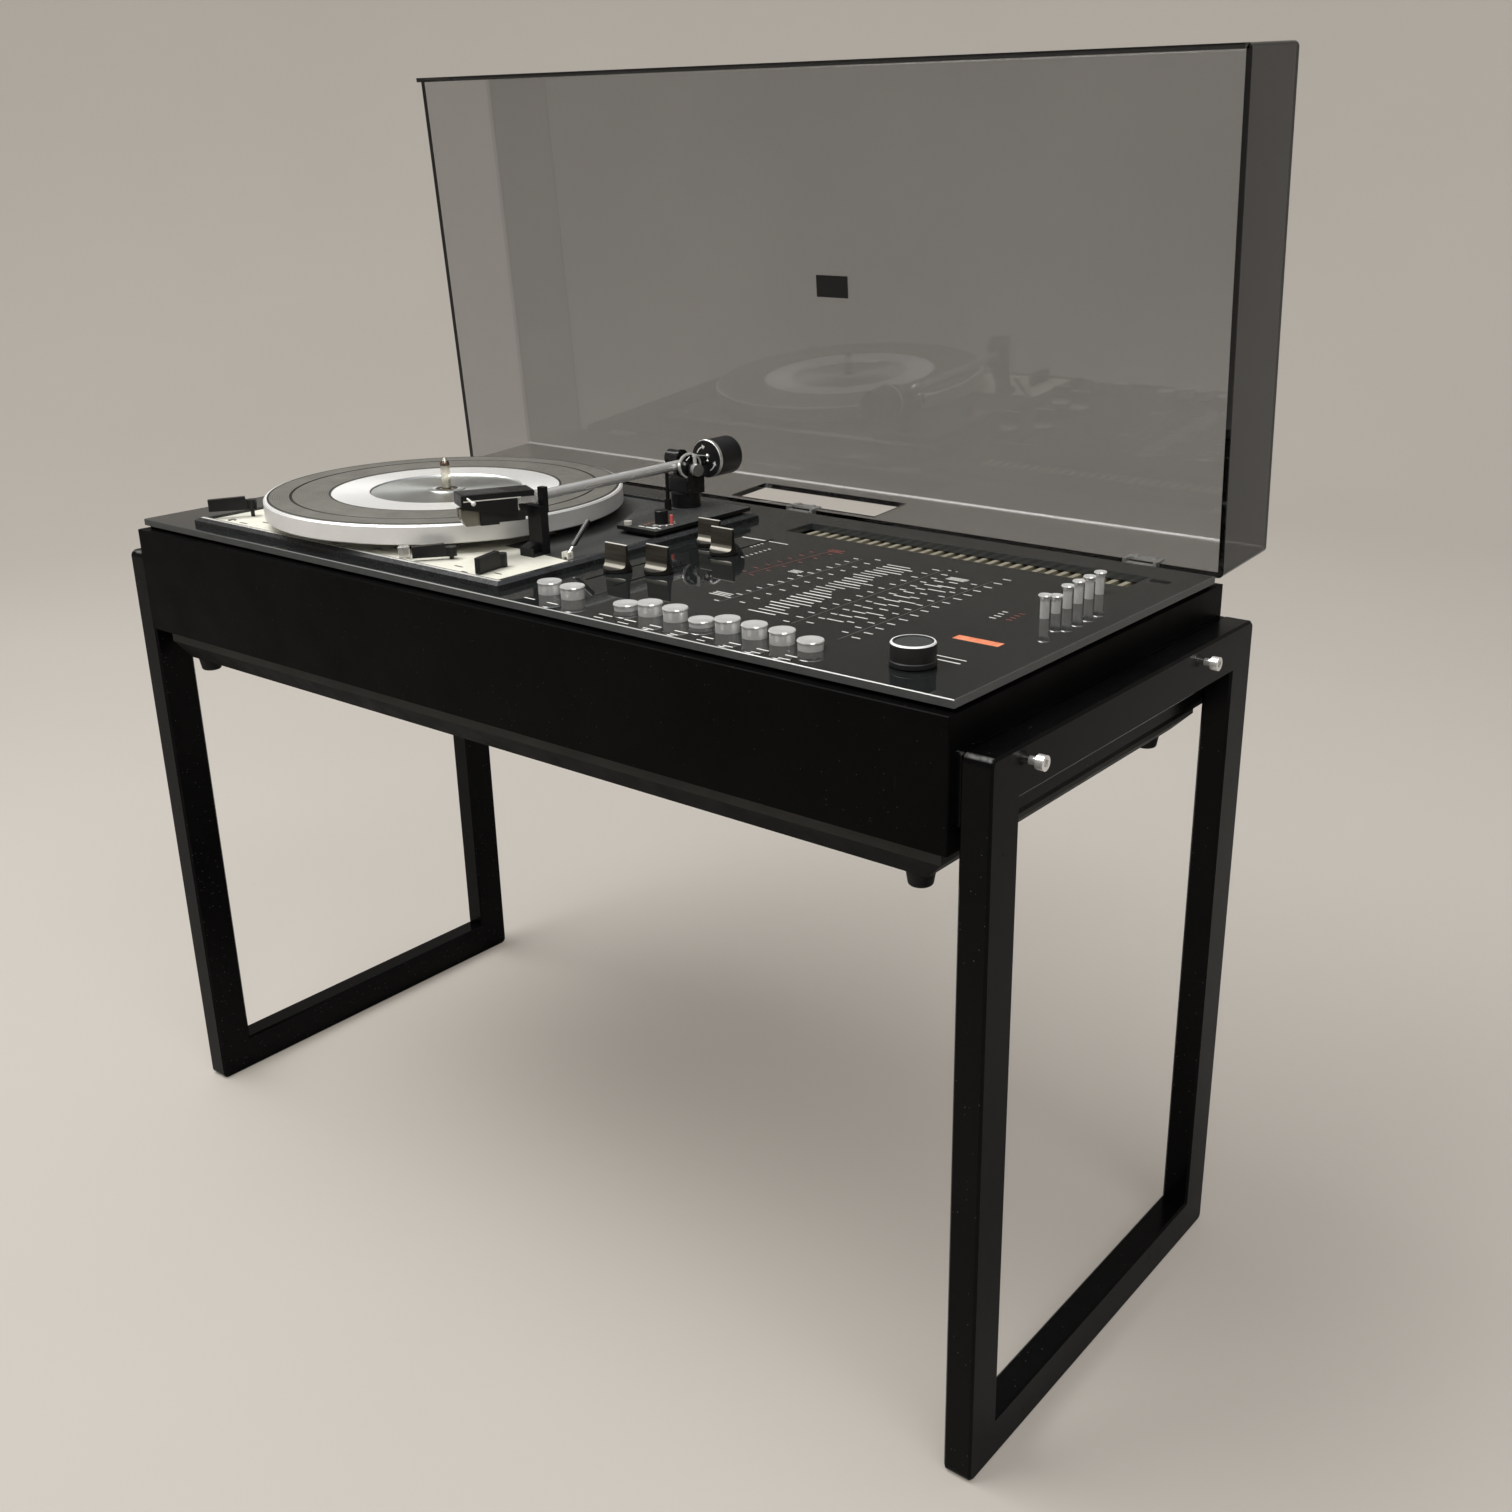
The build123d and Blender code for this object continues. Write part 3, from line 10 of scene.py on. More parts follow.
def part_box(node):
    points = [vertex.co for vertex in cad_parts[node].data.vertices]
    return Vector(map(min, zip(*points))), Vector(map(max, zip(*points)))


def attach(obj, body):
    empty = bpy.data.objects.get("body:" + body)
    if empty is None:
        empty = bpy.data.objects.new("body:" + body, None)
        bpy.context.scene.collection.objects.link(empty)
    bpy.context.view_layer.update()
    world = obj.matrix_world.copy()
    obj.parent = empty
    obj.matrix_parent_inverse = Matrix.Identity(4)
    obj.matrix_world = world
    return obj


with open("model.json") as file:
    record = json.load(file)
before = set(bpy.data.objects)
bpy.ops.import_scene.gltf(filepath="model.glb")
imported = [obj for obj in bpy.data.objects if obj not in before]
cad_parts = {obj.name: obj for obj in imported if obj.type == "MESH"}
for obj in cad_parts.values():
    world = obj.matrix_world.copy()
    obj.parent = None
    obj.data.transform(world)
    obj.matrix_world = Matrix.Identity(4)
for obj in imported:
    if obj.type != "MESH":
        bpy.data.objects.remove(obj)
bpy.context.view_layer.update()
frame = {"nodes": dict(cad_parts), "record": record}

MM = 0.001
FRAME_PIXELS = 1512
SEED = 7
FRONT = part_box("cabinet_shell")[0].y
PANEL_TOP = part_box("top_panel")[1].z / MM
PLATE_TOP = 511.0
ARM_PLATE_TOP = 517.4


def at(x, distance, z):
    """A point: x from the middle, distance behind the apron's face and height, all in mm."""
    return Vector((x * MM, FRONT + distance * MM, z * MM))


PLATTER_CENTRE = at(-180, 145, 0)
WEIGHT_AXIS = at(-33, 281, 550)
WEIGHT_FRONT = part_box("counterweight")[0].y

# ---- materials ----------------------------------------------------------------------------
SOCKETS = {
    "metallic": "Metallic", "rough": "Roughness", "ior": "IOR", "specular": "Specular IOR Level",
    "glass": "Transmission Weight", "aniso": "Anisotropic",
}
NOISE_ROUGHNESS = 0.55
EDGE_SHARE = 0.1  # how soft the edge of a near() mask is, as a share of its width
SPECK_CHOICE = (0.82, 0.86)
LEVEL_FACE = (0.7, 0.2)  # the height of a level face's normal, and the blur of that mask


class Paint:
    """One material: a Principled shader whose colour, roughness and relief come from nodes."""

    def __init__(self, name, **fixed):
        self.material = bpy.data.materials.new(name)
        self.material.use_nodes = True
        self.tree = self.material.node_tree
        self.shader = self.tree.nodes["Principled BSDF"]
        for key, value in fixed.items():
            self.shader.inputs[SOCKETS[key]].default_value = value
        self.place = self.add("TexCoord").outputs["Object"]

    def add(self, kind, **settings):
        made = self.tree.nodes.new("ShaderNode" + kind)
        for key, value in settings.items():
            setattr(made, key, value)
        return made

    def feed(self, socket, value):
        if isinstance(value, bpy.types.NodeSocket):
            self.tree.links.new(value, socket)
        elif isinstance(value, tuple) and len(value) == 3 and socket.type == "RGBA":
            socket.default_value = (*value, 1.0)
        else:
            socket.default_value = value

    def mapped(self, scale=(1, 1, 1), origin=(0, 0, 0), turn=(0, 0, 0)):
        shift = self.add("VectorMath", operation="SUBTRACT")
        self.feed(shift.inputs[0], self.place)
        shift.inputs[1].default_value = origin
        node = self.add("Mapping")
        self.feed(node.inputs["Vector"], shift.outputs[0])
        node.inputs["Rotation"].default_value = turn
        node.inputs["Scale"].default_value = scale
        return node.outputs[0]

    def noise(self, scale, detail, where=None):
        node = self.add("TexNoise")
        self.feed(node.inputs["Vector"], where or self.place)
        node.inputs["Scale"].default_value = scale
        node.inputs["Detail"].default_value = detail
        node.inputs["Roughness"].default_value = NOISE_ROUGHNESS
        return node.outputs["Fac"]

    def cloud(self, scale, detail, low=0.3, high=0.7, to_low=0.0, to_high=1.0):
        """Soft noise, spread over a range."""
        return self.range(self.noise(scale, detail), low, high, to_low, to_high)

    def specks(self, scale, size):
        """1 inside small round spots, 0 between them."""
        node = self.add("TexVoronoi")
        self.feed(node.inputs["Vector"], self.place)
        node.inputs["Scale"].default_value = scale
        spots = self.range(node.outputs["Distance"], size, size * 0.5)
        pick = self.add("SeparateColor")
        self.feed(pick.inputs[0], node.outputs["Color"])
        return self.both(spots, self.range(pick.outputs[0], *SPECK_CHOICE))

    def rings(self, centre, pitch):
        """Fine concentric rings round the upright axis through centre; pitch in metres."""
        node = self.add("TexWave", wave_type="RINGS", rings_direction="Z")
        self.feed(node.inputs["Vector"], self.mapped(origin=centre))
        node.inputs["Scale"].default_value = math.pi / (10 * pitch)
        node.inputs["Distortion"].default_value = 0.0
        return node.outputs["Fac"]

    def radius(self, centre, spread=(1, 1, 0)):
        """Distance from the axis through centre that spread leaves out, in metres."""
        node = self.add("VectorMath", operation="LENGTH")
        self.feed(node.inputs[0], self.mapped(scale=spread, origin=centre))
        return node.outputs["Value"]

    def range(self, value, low, high, to_low=0.0, to_high=1.0):
        node = self.add("MapRange")
        self.feed(node.inputs["Value"], value)
        for key, number in zip(("From Min", "From Max", "To Min", "To Max"), (low, high, to_low, to_high)):
            node.inputs[key].default_value = number
        return node.outputs["Result"]

    def above(self, value, level, blur):
        """1 where value is over level, 0 where it is under."""
        return self.range(value, level - blur, level + blur)

    def below(self, value, level, blur):
        """1 where value is under level, 0 where it is over."""
        return self.range(value, level + blur, level - blur)

    def math(self, operation, a, b):
        node = self.add("Math", operation=operation)
        self.feed(node.inputs[0], a)
        self.feed(node.inputs[1], b)
        return node.outputs[0]

    def size(self, value):
        return self.math("ABSOLUTE", value, 0.0)

    def off(self, value, target):
        """How far value is from target, either way."""
        return self.size(self.math("SUBTRACT", value, target))

    def near(self, value, target, width):
        """1 where value is within width of target, else 0."""
        return self.range(self.off(value, target), width * (1 + EDGE_SHARE), width * (1 - EDGE_SHARE))

    def both(self, a, b):
        return self.math("MULTIPLY", a, b)

    def either(self, a, b):
        return self.math("MAXIMUM", a, b)

    def outside(self, mask):
        return self.math("SUBTRACT", 1.0, mask)

    def mix(self, amount, a, b):
        node = self.add("Mix", data_type="RGBA")
        self.feed(node.inputs["Factor"], amount)
        self.feed(node.inputs[6], a)
        self.feed(node.inputs[7], b)
        return node.outputs[2]

    def normal_part(self, axis):
        """X, Y or Z of the surface's normal in the object's own frame."""
        split = self.add("SeparateXYZ")
        self.feed(split.inputs[0], self.add("TexCoord").outputs["Normal"])
        return split.outputs[axis]

    def place_part(self, axis):
        split = self.add("SeparateXYZ")
        self.feed(split.inputs[0], self.place)
        return split.outputs[axis]

    def along(self, direction, origin):
        """Distance in metres along a direction from a point."""
        node = self.add("VectorMath", operation="DOT_PRODUCT")
        self.feed(node.inputs[0], self.mapped(origin=origin))
        node.inputs[1].default_value = direction
        return node.outputs["Value"]

    def colour(self, value):
        self.feed(self.shader.inputs["Base Color"], value)

    def metallic(self, value):
        self.feed(self.shader.inputs["Metallic"], value)

    def rough(self, value):
        self.feed(self.shader.inputs["Roughness"], value)

    def relief(self, height, depth, strength):
        """Adds bump of this depth in metres."""
        node = self.add("Bump")
        self.feed(node.inputs["Height"], height)
        node.inputs["Strength"].default_value = strength
        node.inputs["Distance"].default_value = depth
        self.feed(self.shader.inputs["Normal"], node.outputs[0])


def toned(colour, share):
    """The colour made darker or lighter by a share."""
    return tuple(min(1.0, c * share) for c in colour)


def moulded(name, colour, rough=0.4, specular=0.3, variation=1.35):
    """Moulded or painted plastic with a fine surface grain."""
    paint = Paint(name, specular=specular)
    paint.colour(paint.mix(paint.cloud(120, 4), colour, toned(colour, variation)))
    paint.rough(paint.cloud(300, 3, 0.3, 0.7, rough - 0.06, rough + 0.08))
    paint.relief(paint.noise(1600, 2), 0.00004, 0.6)
    return paint.material


def metal(name, colour, rough=0.25, stretch=(1, 1, 1), tarnish=0.75, shine=1.0):
    """Bright metal with drawn or brushed lines along the unstretched axis."""
    paint = Paint(name, metallic=shine)
    lines = paint.noise(900, 3, paint.mapped(scale=stretch))
    paint.colour(paint.mix(paint.cloud(60, 4, 0.35, 0.8), colour, toned(colour, tarnish)))
    paint.rough(paint.range(lines, 0.3, 0.7, rough - 0.07, rough + 0.1))
    paint.relief(lines, 0.00002, 0.6)
    return paint.material


def upright_axis(low, high):
    """A point on the upright axis through the middle of a box."""
    return Vector(((low.x + high.x) / 2, (low.y + high.y) / 2, 0))


def turned_knob(node):
    """Aluminium turned on a lathe: fine rings round the knob's own axis."""
    paint = Paint("spun_" + node, metallic=0.55)
    low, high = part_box(node)
    rings = paint.rings(upright_axis(low, high), 0.0005)
    bright = (0.97, 0.97, 0.96)
    paint.colour(paint.mix(paint.cloud(150, 4, 0.3, 0.8), bright, toned(bright, 0.88)))
    paint.rough(paint.range(rings, 0, 1, 0.14, 0.26))
    paint.relief(rings, 0.00002, 0.5)
    return paint.material


def clear_plastic(name, colour):
    """Clear moulded plastic with fine scratches."""
    paint = Paint(name, glass=0.8, ior=1.45)
    cloud = paint.cloud(400, 3, 0.35, 0.7)
    paint.colour(paint.mix(cloud, colour, toned(colour, 0.85)))
    paint.rough(paint.range(cloud, 0, 1, 0.06, 0.22))
    paint.relief(paint.noise(700, 2), 0.00005, 0.5)
    return paint.material


def cabinet_enamel():
    """Sprayed black enamel with soft mottling, a little dust and hairline scratches."""
    paint = Paint("cabinet_black", specular=0.035)
    base = paint.mix(paint.cloud(14, 5, 0.3, 0.75), (0.0016, 0.0016, 0.0015), (0.00316, 0.00316, 0.003))
    scratch = paint.noise(60, 2, paint.mapped(scale=(22, 1.2, 1), turn=(0.2, 0.1, 0.5)))
    scratches = paint.range(scratch, 0.74, 0.77)
    wear_and_highlight = paint.either(paint.both(scratches, 0.2), paint.specks(330, 0.14))
    paint.colour(paint.mix(paint.both(wear_and_highlight, 0.5), base, (0.09, 0.088, 0.082)))
    paint.rough(paint.cloud(40, 4, 0.25, 0.8, 0.33, 0.52))
    paint.relief(paint.noise(700, 2), 0.00006, 0.5)
    return paint.material


# Where the grey highlight is painted on the stand's top front corners: above this height and within this
# distance of the front, in metres.
HOOP_HIGHLIGHT_HEIGHT = 0.47825
HOOP_HIGHLIGHT_FRONT = at(0, 7.5, 0).y


def hoop_enamel():
    """The stand's glossy enamel with pale dust specks, and a patchy grey highlight painted on its top front
    corners.
    """
    paint = Paint("stand_black", specular=0.07)
    base = paint.mix(paint.cloud(14, 5, 0.3, 0.75), (0.0016, 0.0016, 0.0017), (0.0034, 0.0034, 0.0035))
    corner = paint.both(
        paint.above(paint.place_part(2), HOOP_HIGHLIGHT_HEIGHT, 0.00075),
        paint.below(paint.place_part(1), HOOP_HIGHLIGHT_FRONT, 0.0015),
    )
    # Painted highlight: patchy grey on the top front corners, mixed below with the pale dust specks.
    corner_highlight = paint.both(corner, paint.cloud(220, 3, 0.35, 0.6))
    wear_and_highlight = paint.either(paint.both(paint.specks(330, 0.14), 0.3), paint.both(corner_highlight, 0.8))
    paint.colour(paint.mix(wear_and_highlight, base, (0.3, 0.3, 0.29)))
    paint.rough(paint.cloud(40, 4, 0.25, 0.8, 0.16, 0.3))
    paint.relief(paint.noise(500, 2), 0.00006, 0.4)
    return paint.material


PAN_BAND_BOTTOM = 0.4088


def pan_enamel():
    """Dull enamel on the base pan with painted light: its upright band is painted paler as lit, and its
    lower slope darker as shade.
    """
    paint = Paint("pan_black", specular=0.08)
    mottle = paint.cloud(30, 5, 0.3, 0.75)
    # Painted shade on the lower slope, and painted light on the upright band.
    slope = paint.mix(mottle, (0.002, 0.002, 0.002), (0.005, 0.0047, 0.0045))
    lit_band = paint.mix(mottle, (0.035, 0.034, 0.032), (0.055, 0.053, 0.05))
    paint.colour(paint.mix(paint.above(paint.place_part(2), PAN_BAND_BOTTOM, 0.0004), slope, lit_band))
    paint.rough(paint.cloud(60, 4, 0.25, 0.8, 0.45, 0.65))
    paint.relief(paint.noise(900, 2), 0.00008, 0.5)
    return paint.material


BEVEL_LINE = 0.925  # mm below the panel's face


def acrylic_black():
    """Polished black sheet with paler sawn edges, dust, faint wiping marks and a highlight painted along its
    front top bevel, brighter towards the right.
    """
    paint = Paint("panel_acrylic", specular=0.5, ior=1.49)
    face = paint.mix(paint.cloud(7, 5, 0.4, 0.8, 0.0, 0.35), (0.010, 0.0115, 0.0115), (0.026, 0.029, 0.029))
    face = paint.mix(paint.both(paint.specks(420, 0.12), 0.4), face, (0.3, 0.29, 0.27))
    bevel = paint.both(
        paint.near(paint.normal_part(2), *LEVEL_FACE),
        paint.above(paint.place_part(2), (PANEL_TOP - BEVEL_LINE) * MM, 0.000025),
    )
    front = paint.below(paint.normal_part(1), -0.3, 0.1)
    rightward = paint.range(paint.place_part(0), -0.3, 0.1)
    edge = paint.mix(paint.noise(90, 3), (0.022, 0.025, 0.026), (0.05, 0.055, 0.056))
    # Painted highlight on the front top bevel: dim at the left, nearly white towards the right.
    wear_and_highlight = paint.mix(paint.both(front, rightward), (0.13, 0.135, 0.13), (0.95, 0.95, 0.93))
    side = paint.mix(bevel, edge, wear_and_highlight)
    paint.colour(paint.mix(paint.above(paint.normal_part(2), *LEVEL_FACE), side, face))
    wipe = paint.noise(30, 4, paint.mapped(scale=(1, 5, 1), turn=(0, 0, 0.6)))
    paint.rough(paint.range(wipe, 0.3, 0.8, 0.02, 0.05))
    return paint.material


LEAN = math.radians(3.57)
LID_ORIGIN = at(0, 339.0, 503.2)
LID_UP = Vector((0, -math.sin(LEAN), math.cos(LEAN)))
LID_BACK = Vector((0, math.cos(LEAN), math.sin(LEAN)))
LID_CUT_X = (-63.0, 82.0)
LID_CUT_BACK = (8.0, 52.0)
CUT_EDGE = 0.0003
LID_WALL_X = 372.8
BEND_LINES = (0.42, 0.66, 0.86)  # the slopes at which the bend shines
BEND_HEIGHT = 0.0055


def span(ends):
    """The middle and the half length of two ends in mm, both in metres."""
    return (ends[0] + ends[1]) / 2 * MM, (ends[1] - ends[0]) / 2 * MM


def smoked_acrylic():
    """Clear grey sheet; light that crosses it is tinted once by the colour. Its cut edges are dark, and its
    side walls carry painted light: the left one paler, the right one dark as shade.
    """
    paint = Paint("lid_acrylic", glass=1.0, ior=1.46, specular=0.5)
    clear = paint.mix(paint.cloud(3, 4), (0.435, 0.43, 0.425), (0.475, 0.47, 0.465))
    body = paint.mix(paint.both(paint.specks(260, 0.1), 0.4), clear, (0.75, 0.74, 0.7))
    back = paint.along(LID_BACK, LID_ORIGIN)
    up = paint.along(LID_UP, LID_ORIGIN)
    across = paint.place_part(0)
    middle, half = span(LID_CUT_X)
    back_middle, back_half = span(LID_CUT_BACK)
    cut = paint.either(
        paint.both(
            paint.near(paint.off(across, middle), half, CUT_EDGE), paint.near(back, back_middle, back_half),
        ),
        paint.both(
            paint.near(across, middle, half), paint.near(paint.off(back, back_middle), back_half, CUT_EDGE),
        ),
    )
    rim = paint.below(back, 0.0003, 0.0001)
    edges = paint.either(paint.both(cut, paint.below(up, BEND_HEIGHT, 0.0005)), rim)
    # Painted light on the side walls: the left wall paler than the sheet, the right wall dark as shade.
    walls = paint.above(paint.size(across), LID_WALL_X * MM, 0.0001)
    wall_light_and_shade = paint.mix(paint.above(across, 0.0, 0.1), (0.66, 0.65, 0.64), (0.12, 0.12, 0.12))
    body = paint.mix(walls, body, wall_light_and_shade)
    # The sheet's lower bend catches the light in three thin lines.
    slope = paint.size(paint.normal_part(2))
    lines = paint.near(slope, BEND_LINES[0], 0.035)
    for line in BEND_LINES[1:]:
        lines = paint.either(lines, paint.near(slope, line, 0.035))
    level_run = paint.below(paint.size(paint.normal_part(0)), 0.15, 0.05)
    inside = paint.near(up, BEND_HEIGHT, 0.0045)
    lines = paint.both(paint.both(lines, level_run), inside)
    tinted = paint.mix(edges, body, (0.004, 0.004, 0.004))
    paint.colour(paint.mix(lines, tinted, (0.95, 0.95, 0.95)))
    paint.feed(paint.shader.inputs["Transmission Weight"], paint.outside(paint.both(lines, 0.75)))
    paint.rough(paint.cloud(5, 4, 0.4, 0.8, 0.0, 0.035))
    return paint.material


HIGHLIGHT_BAR_FRONT = at(0, 23, 0).y


def black_bezel():
    """Black anodised frame with a highlight painted on the top face of its front bar."""
    paint = Paint("bezel", specular=0.5)
    # Painted highlight over the front bar's level top face.
    front_bar = paint.below(paint.place_part(1), HIGHLIGHT_BAR_FRONT, 0.001)
    bright_part = paint.both(paint.above(paint.normal_part(2), 0.95, 0.02), front_bar)
    black = paint.mix(paint.cloud(80, 4), (0.014, 0.0148, 0.0158), (0.028, 0.03, 0.032))
    paint.colour(paint.mix(bright_part, black, (0.9, 0.89, 0.84)))
    paint.metallic(paint.both(bright_part, 0.4))
    paint.rough(paint.cloud(400, 3, 0.3, 0.7, 0.16, 0.3))
    paint.relief(paint.noise(1200, 2), 0.00003, 0.5)
    return paint.material


DISC_RADIUS = 0.0575
HUB_RADIUS = 0.0103
HUB_RING_RADIUS = 0.0095


def platter_metal():
    """Satin turned platter: bright rim and ring, and a greyer sunk disc in the middle."""
    paint = Paint("platter_aluminium", aniso=0.7)
    away = paint.radius(PLATTER_CENTRE)
    rings = paint.rings(PLATTER_CENTRE, 0.0012)
    cloud = paint.cloud(60, 4, 0.3, 0.8)
    bright = paint.mix(cloud, (0.96, 0.96, 0.95), (0.9, 0.9, 0.89))
    disc = paint.below(away, DISC_RADIUS, 0.0003)
    grey = paint.mix(cloud, (0.6, 0.62, 0.61), (0.5, 0.52, 0.51))
    grey = paint.mix(paint.below(away, HUB_RADIUS, 0.0002), grey, (0.08, 0.08, 0.075))
    grey = paint.mix(paint.near(away, HUB_RING_RADIUS, 0.0009), grey, (0.85, 0.85, 0.84))
    paint.colour(paint.mix(disc, bright, grey))
    paint.metallic(paint.range(disc, 0, 1, 0.5, 0.95))
    round_axis = paint.add("Tangent", direction_type="RADIAL", axis="Z")
    paint.feed(paint.shader.inputs["Tangent"], round_axis.outputs[0])
    paint.rough(paint.range(rings, 0, 1, 0.26, 0.38))
    paint.relief(rings, 0.00003, 0.5)
    return paint.material


MAT_GROOVES = ((0.115, 0.0011), (0.0868, 0.0007), (0.1314, 0.0007))  # radius and half width


def mat_rubber():
    """Grey-green ribbed mat with darker grooves near its edges and middle."""
    paint = Paint("mat_rubber", specular=0.3)
    away = paint.radius(PLATTER_CENTRE)
    base = paint.mix(paint.cloud(40, 4), (0.115, 0.111, 0.097), (0.155, 0.15, 0.132))
    grooves = paint.near(away, *MAT_GROOVES[0])
    for groove in MAT_GROOVES[1:]:
        grooves = paint.either(grooves, paint.near(away, *groove))
    paint.colour(paint.mix(grooves, base, (0.02, 0.02, 0.016)))
    paint.rough(paint.cloud(200, 3, 0.3, 0.7, 0.45, 0.6))
    paint.relief(paint.rings(PLATTER_CENTRE, 0.0017), 0.0003, 0.7)
    return paint.material


# Heights over the panel of the slide knob's bands, in metres.
KNOB_BASE = 0.0032
KNOB_FOOT = 0.00335
KNOB_SWEEP = 0.0051
KNOB_FACE = 0.00715
KNOB_EDGE = 0.0186


def slide_knob_metal():
    """Dark brushed bronze face, a pale curved foot painted as a reflection, a highlight painted along the
    top edge, and black ends.
    """
    paint = Paint("knob_brown")
    height = paint.math("SUBTRACT", paint.place_part(2), PANEL_TOP * MM)
    lines = paint.noise(700, 3, paint.mapped(scale=(0.06, 1, 1)))
    face = paint.mix(paint.range(lines, 0.35, 0.65), (0.036, 0.031, 0.024), (0.062, 0.055, 0.044))
    # The pale foot is a painted reflection, paler where it sweeps down towards the panel.
    foot = paint.both(paint.above(height, KNOB_FOOT, 0.00025), paint.below(height, KNOB_FACE, 0.00035))
    sweep = paint.below(height, KNOB_SWEEP, 0.0015)
    face = paint.mix(foot, face, paint.mix(sweep, (0.2, 0.188, 0.155), (0.46, 0.44, 0.38)))
    # Painted highlight along the top edge.
    edge = paint.above(height, KNOB_EDGE, 0.0001)
    face = paint.mix(edge, face, (0.95, 0.93, 0.86))
    ends = paint.above(paint.size(paint.normal_part(0)), 0.425, 0.075)
    dark = paint.either(paint.below(height, KNOB_BASE, 0.0002), paint.both(ends, paint.outside(edge)))
    paint.colour(paint.mix(dark, face, (0.012, 0.0105, 0.0085)))
    paint.metallic(paint.both(paint.outside(dark), 0.35))
    paint.rough(paint.range(lines, 0.3, 0.7, 0.28, 0.42))
    paint.relief(lines, 0.00003, 0.5)
    return paint.material


SLEEVE_HEIGHT = 0.5188


def cue_metal():
    """A bright stem with a black sleeve over its upper length, and a highlight painted down the sleeve's
    left side.
    """
    paint = Paint("cue_lever")
    sleeve = paint.above(paint.place_part(2), SLEEVE_HEIGHT, 0.0002)
    cloud = paint.cloud(300, 3)
    bright_part = paint.mix(cloud, (0.95, 0.95, 0.94), (0.88, 0.88, 0.87))
    # Painted highlight on the sleeve's left side.
    sleeve_highlight = paint.below(paint.normal_part(0), -0.3, 0.15)
    rubber = paint.mix(paint.both(sleeve_highlight, sleeve), (0.006, 0.006, 0.006), (0.6, 0.6, 0.58))
    paint.colour(paint.mix(sleeve, bright_part, rubber))
    paint.metallic(paint.both(paint.outside(sleeve), 0.6))
    paint.rough(paint.range(cloud, 0, 1, 0.14, 0.22))
    return paint.material


KNOB_RING_RADIUS = 0.0124
KNOB_LID_RADIUS = 0.0117
KNOB_RING_DEPTH = 0.0018


def ringed_knob():
    """A black knob with a bright ring round its grey top."""
    paint = Paint("tuning_knob")
    low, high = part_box("tuning_knob")
    away = paint.radius(upright_axis(low, high))
    top = paint.above(paint.normal_part(2), 0.4, 0.1)
    ring = paint.both(paint.near(away, KNOB_RING_RADIUS, 0.0007), top)
    ring = paint.both(ring, paint.above(paint.place_part(2), high.z - KNOB_RING_DEPTH, 0.0002))
    lid = paint.both(paint.below(away, KNOB_LID_RADIUS, 0.0001), top)
    cloud = paint.cloud(150, 3)
    black = paint.mix(cloud, (0.005, 0.005, 0.0055), (0.009, 0.009, 0.0095))
    black = paint.mix(lid, black, (0.04, 0.043, 0.041))
    paint.colour(paint.mix(ring, black, (0.95, 0.95, 0.94)))
    paint.metallic(paint.both(ring, 0.4))
    paint.rough(paint.range(cloud, 0, 1, 0.42, 0.55))
    paint.relief(paint.noise(1500, 2), 0.00003, 0.4)
    return paint.material


WEIGHT_RING_BEHIND = (0.0005, 0.00345)
WEIGHT_RING_RADIUS = 0.01375


def weight_paint():
    """A matt black counterweight with a bright ring near its front."""
    paint = Paint("weight_black", specular=0.3)
    behind = paint.math("SUBTRACT", paint.place_part(1), WEIGHT_FRONT)
    away = paint.radius(WEIGHT_AXIS, spread=(1, 0, 1))
    ring = paint.both(
        paint.both(
            paint.above(behind, WEIGHT_RING_BEHIND[0], 0.0001),
            paint.below(behind, WEIGHT_RING_BEHIND[1], 0.00015),
        ),
        paint.above(away, WEIGHT_RING_RADIUS, 0.00015),
    )
    cloud = paint.cloud(120, 3)
    black = paint.mix(cloud, (0.009, 0.009, 0.0095), (0.018, 0.018, 0.019))
    paint.colour(paint.mix(ring, black, (0.88, 0.88, 0.86)))
    paint.metallic(ring)
    paint.rough(paint.range(cloud, 0, 1, 0.34, 0.46))
    paint.relief(paint.noise(1400, 2), 0.00004, 0.5)
    return paint.material


PIVOT = at(-33, 258, 547)
PIVOT_TURN = math.radians(16)
PIVOT_OUT = Vector((math.cos(PIVOT_TURN), -math.sin(PIVOT_TURN), 0))
PIVOT_BACK = Vector((math.sin(PIVOT_TURN), math.cos(PIVOT_TURN), 0))
TUBE_BLACK_FROM = at(0, 251.5, 0).y


def on_yoke(outward, back, up):
    """A point beside the arm's pivot, in mm along the pivot's axis, behind it and above it."""
    return PIVOT + (PIVOT_OUT * outward + PIVOT_BACK * back + Vector((0, 0, up))) * MM


def tube_paint():
    """Drawn bright tube in front of the pivot, black behind it."""
    paint = Paint("tone_arm")
    behind = paint.above(paint.place_part(1), TUBE_BLACK_FROM, 0.0005)
    lines = paint.noise(900, 3, paint.mapped(scale=(1, 0.05, 1)))
    bright = paint.mix(paint.cloud(60, 4, 0.35, 0.8), (0.95, 0.95, 0.94), (0.86, 0.86, 0.85))
    paint.colour(paint.mix(behind, bright, (0.008, 0.008, 0.008)))
    paint.metallic(paint.range(behind, 0, 1, 0.7, 0.0))
    paint.rough(paint.range(lines, 0.3, 0.7, 0.14, 0.3))
    paint.relief(lines, 0.00002, 0.6)
    return paint.material


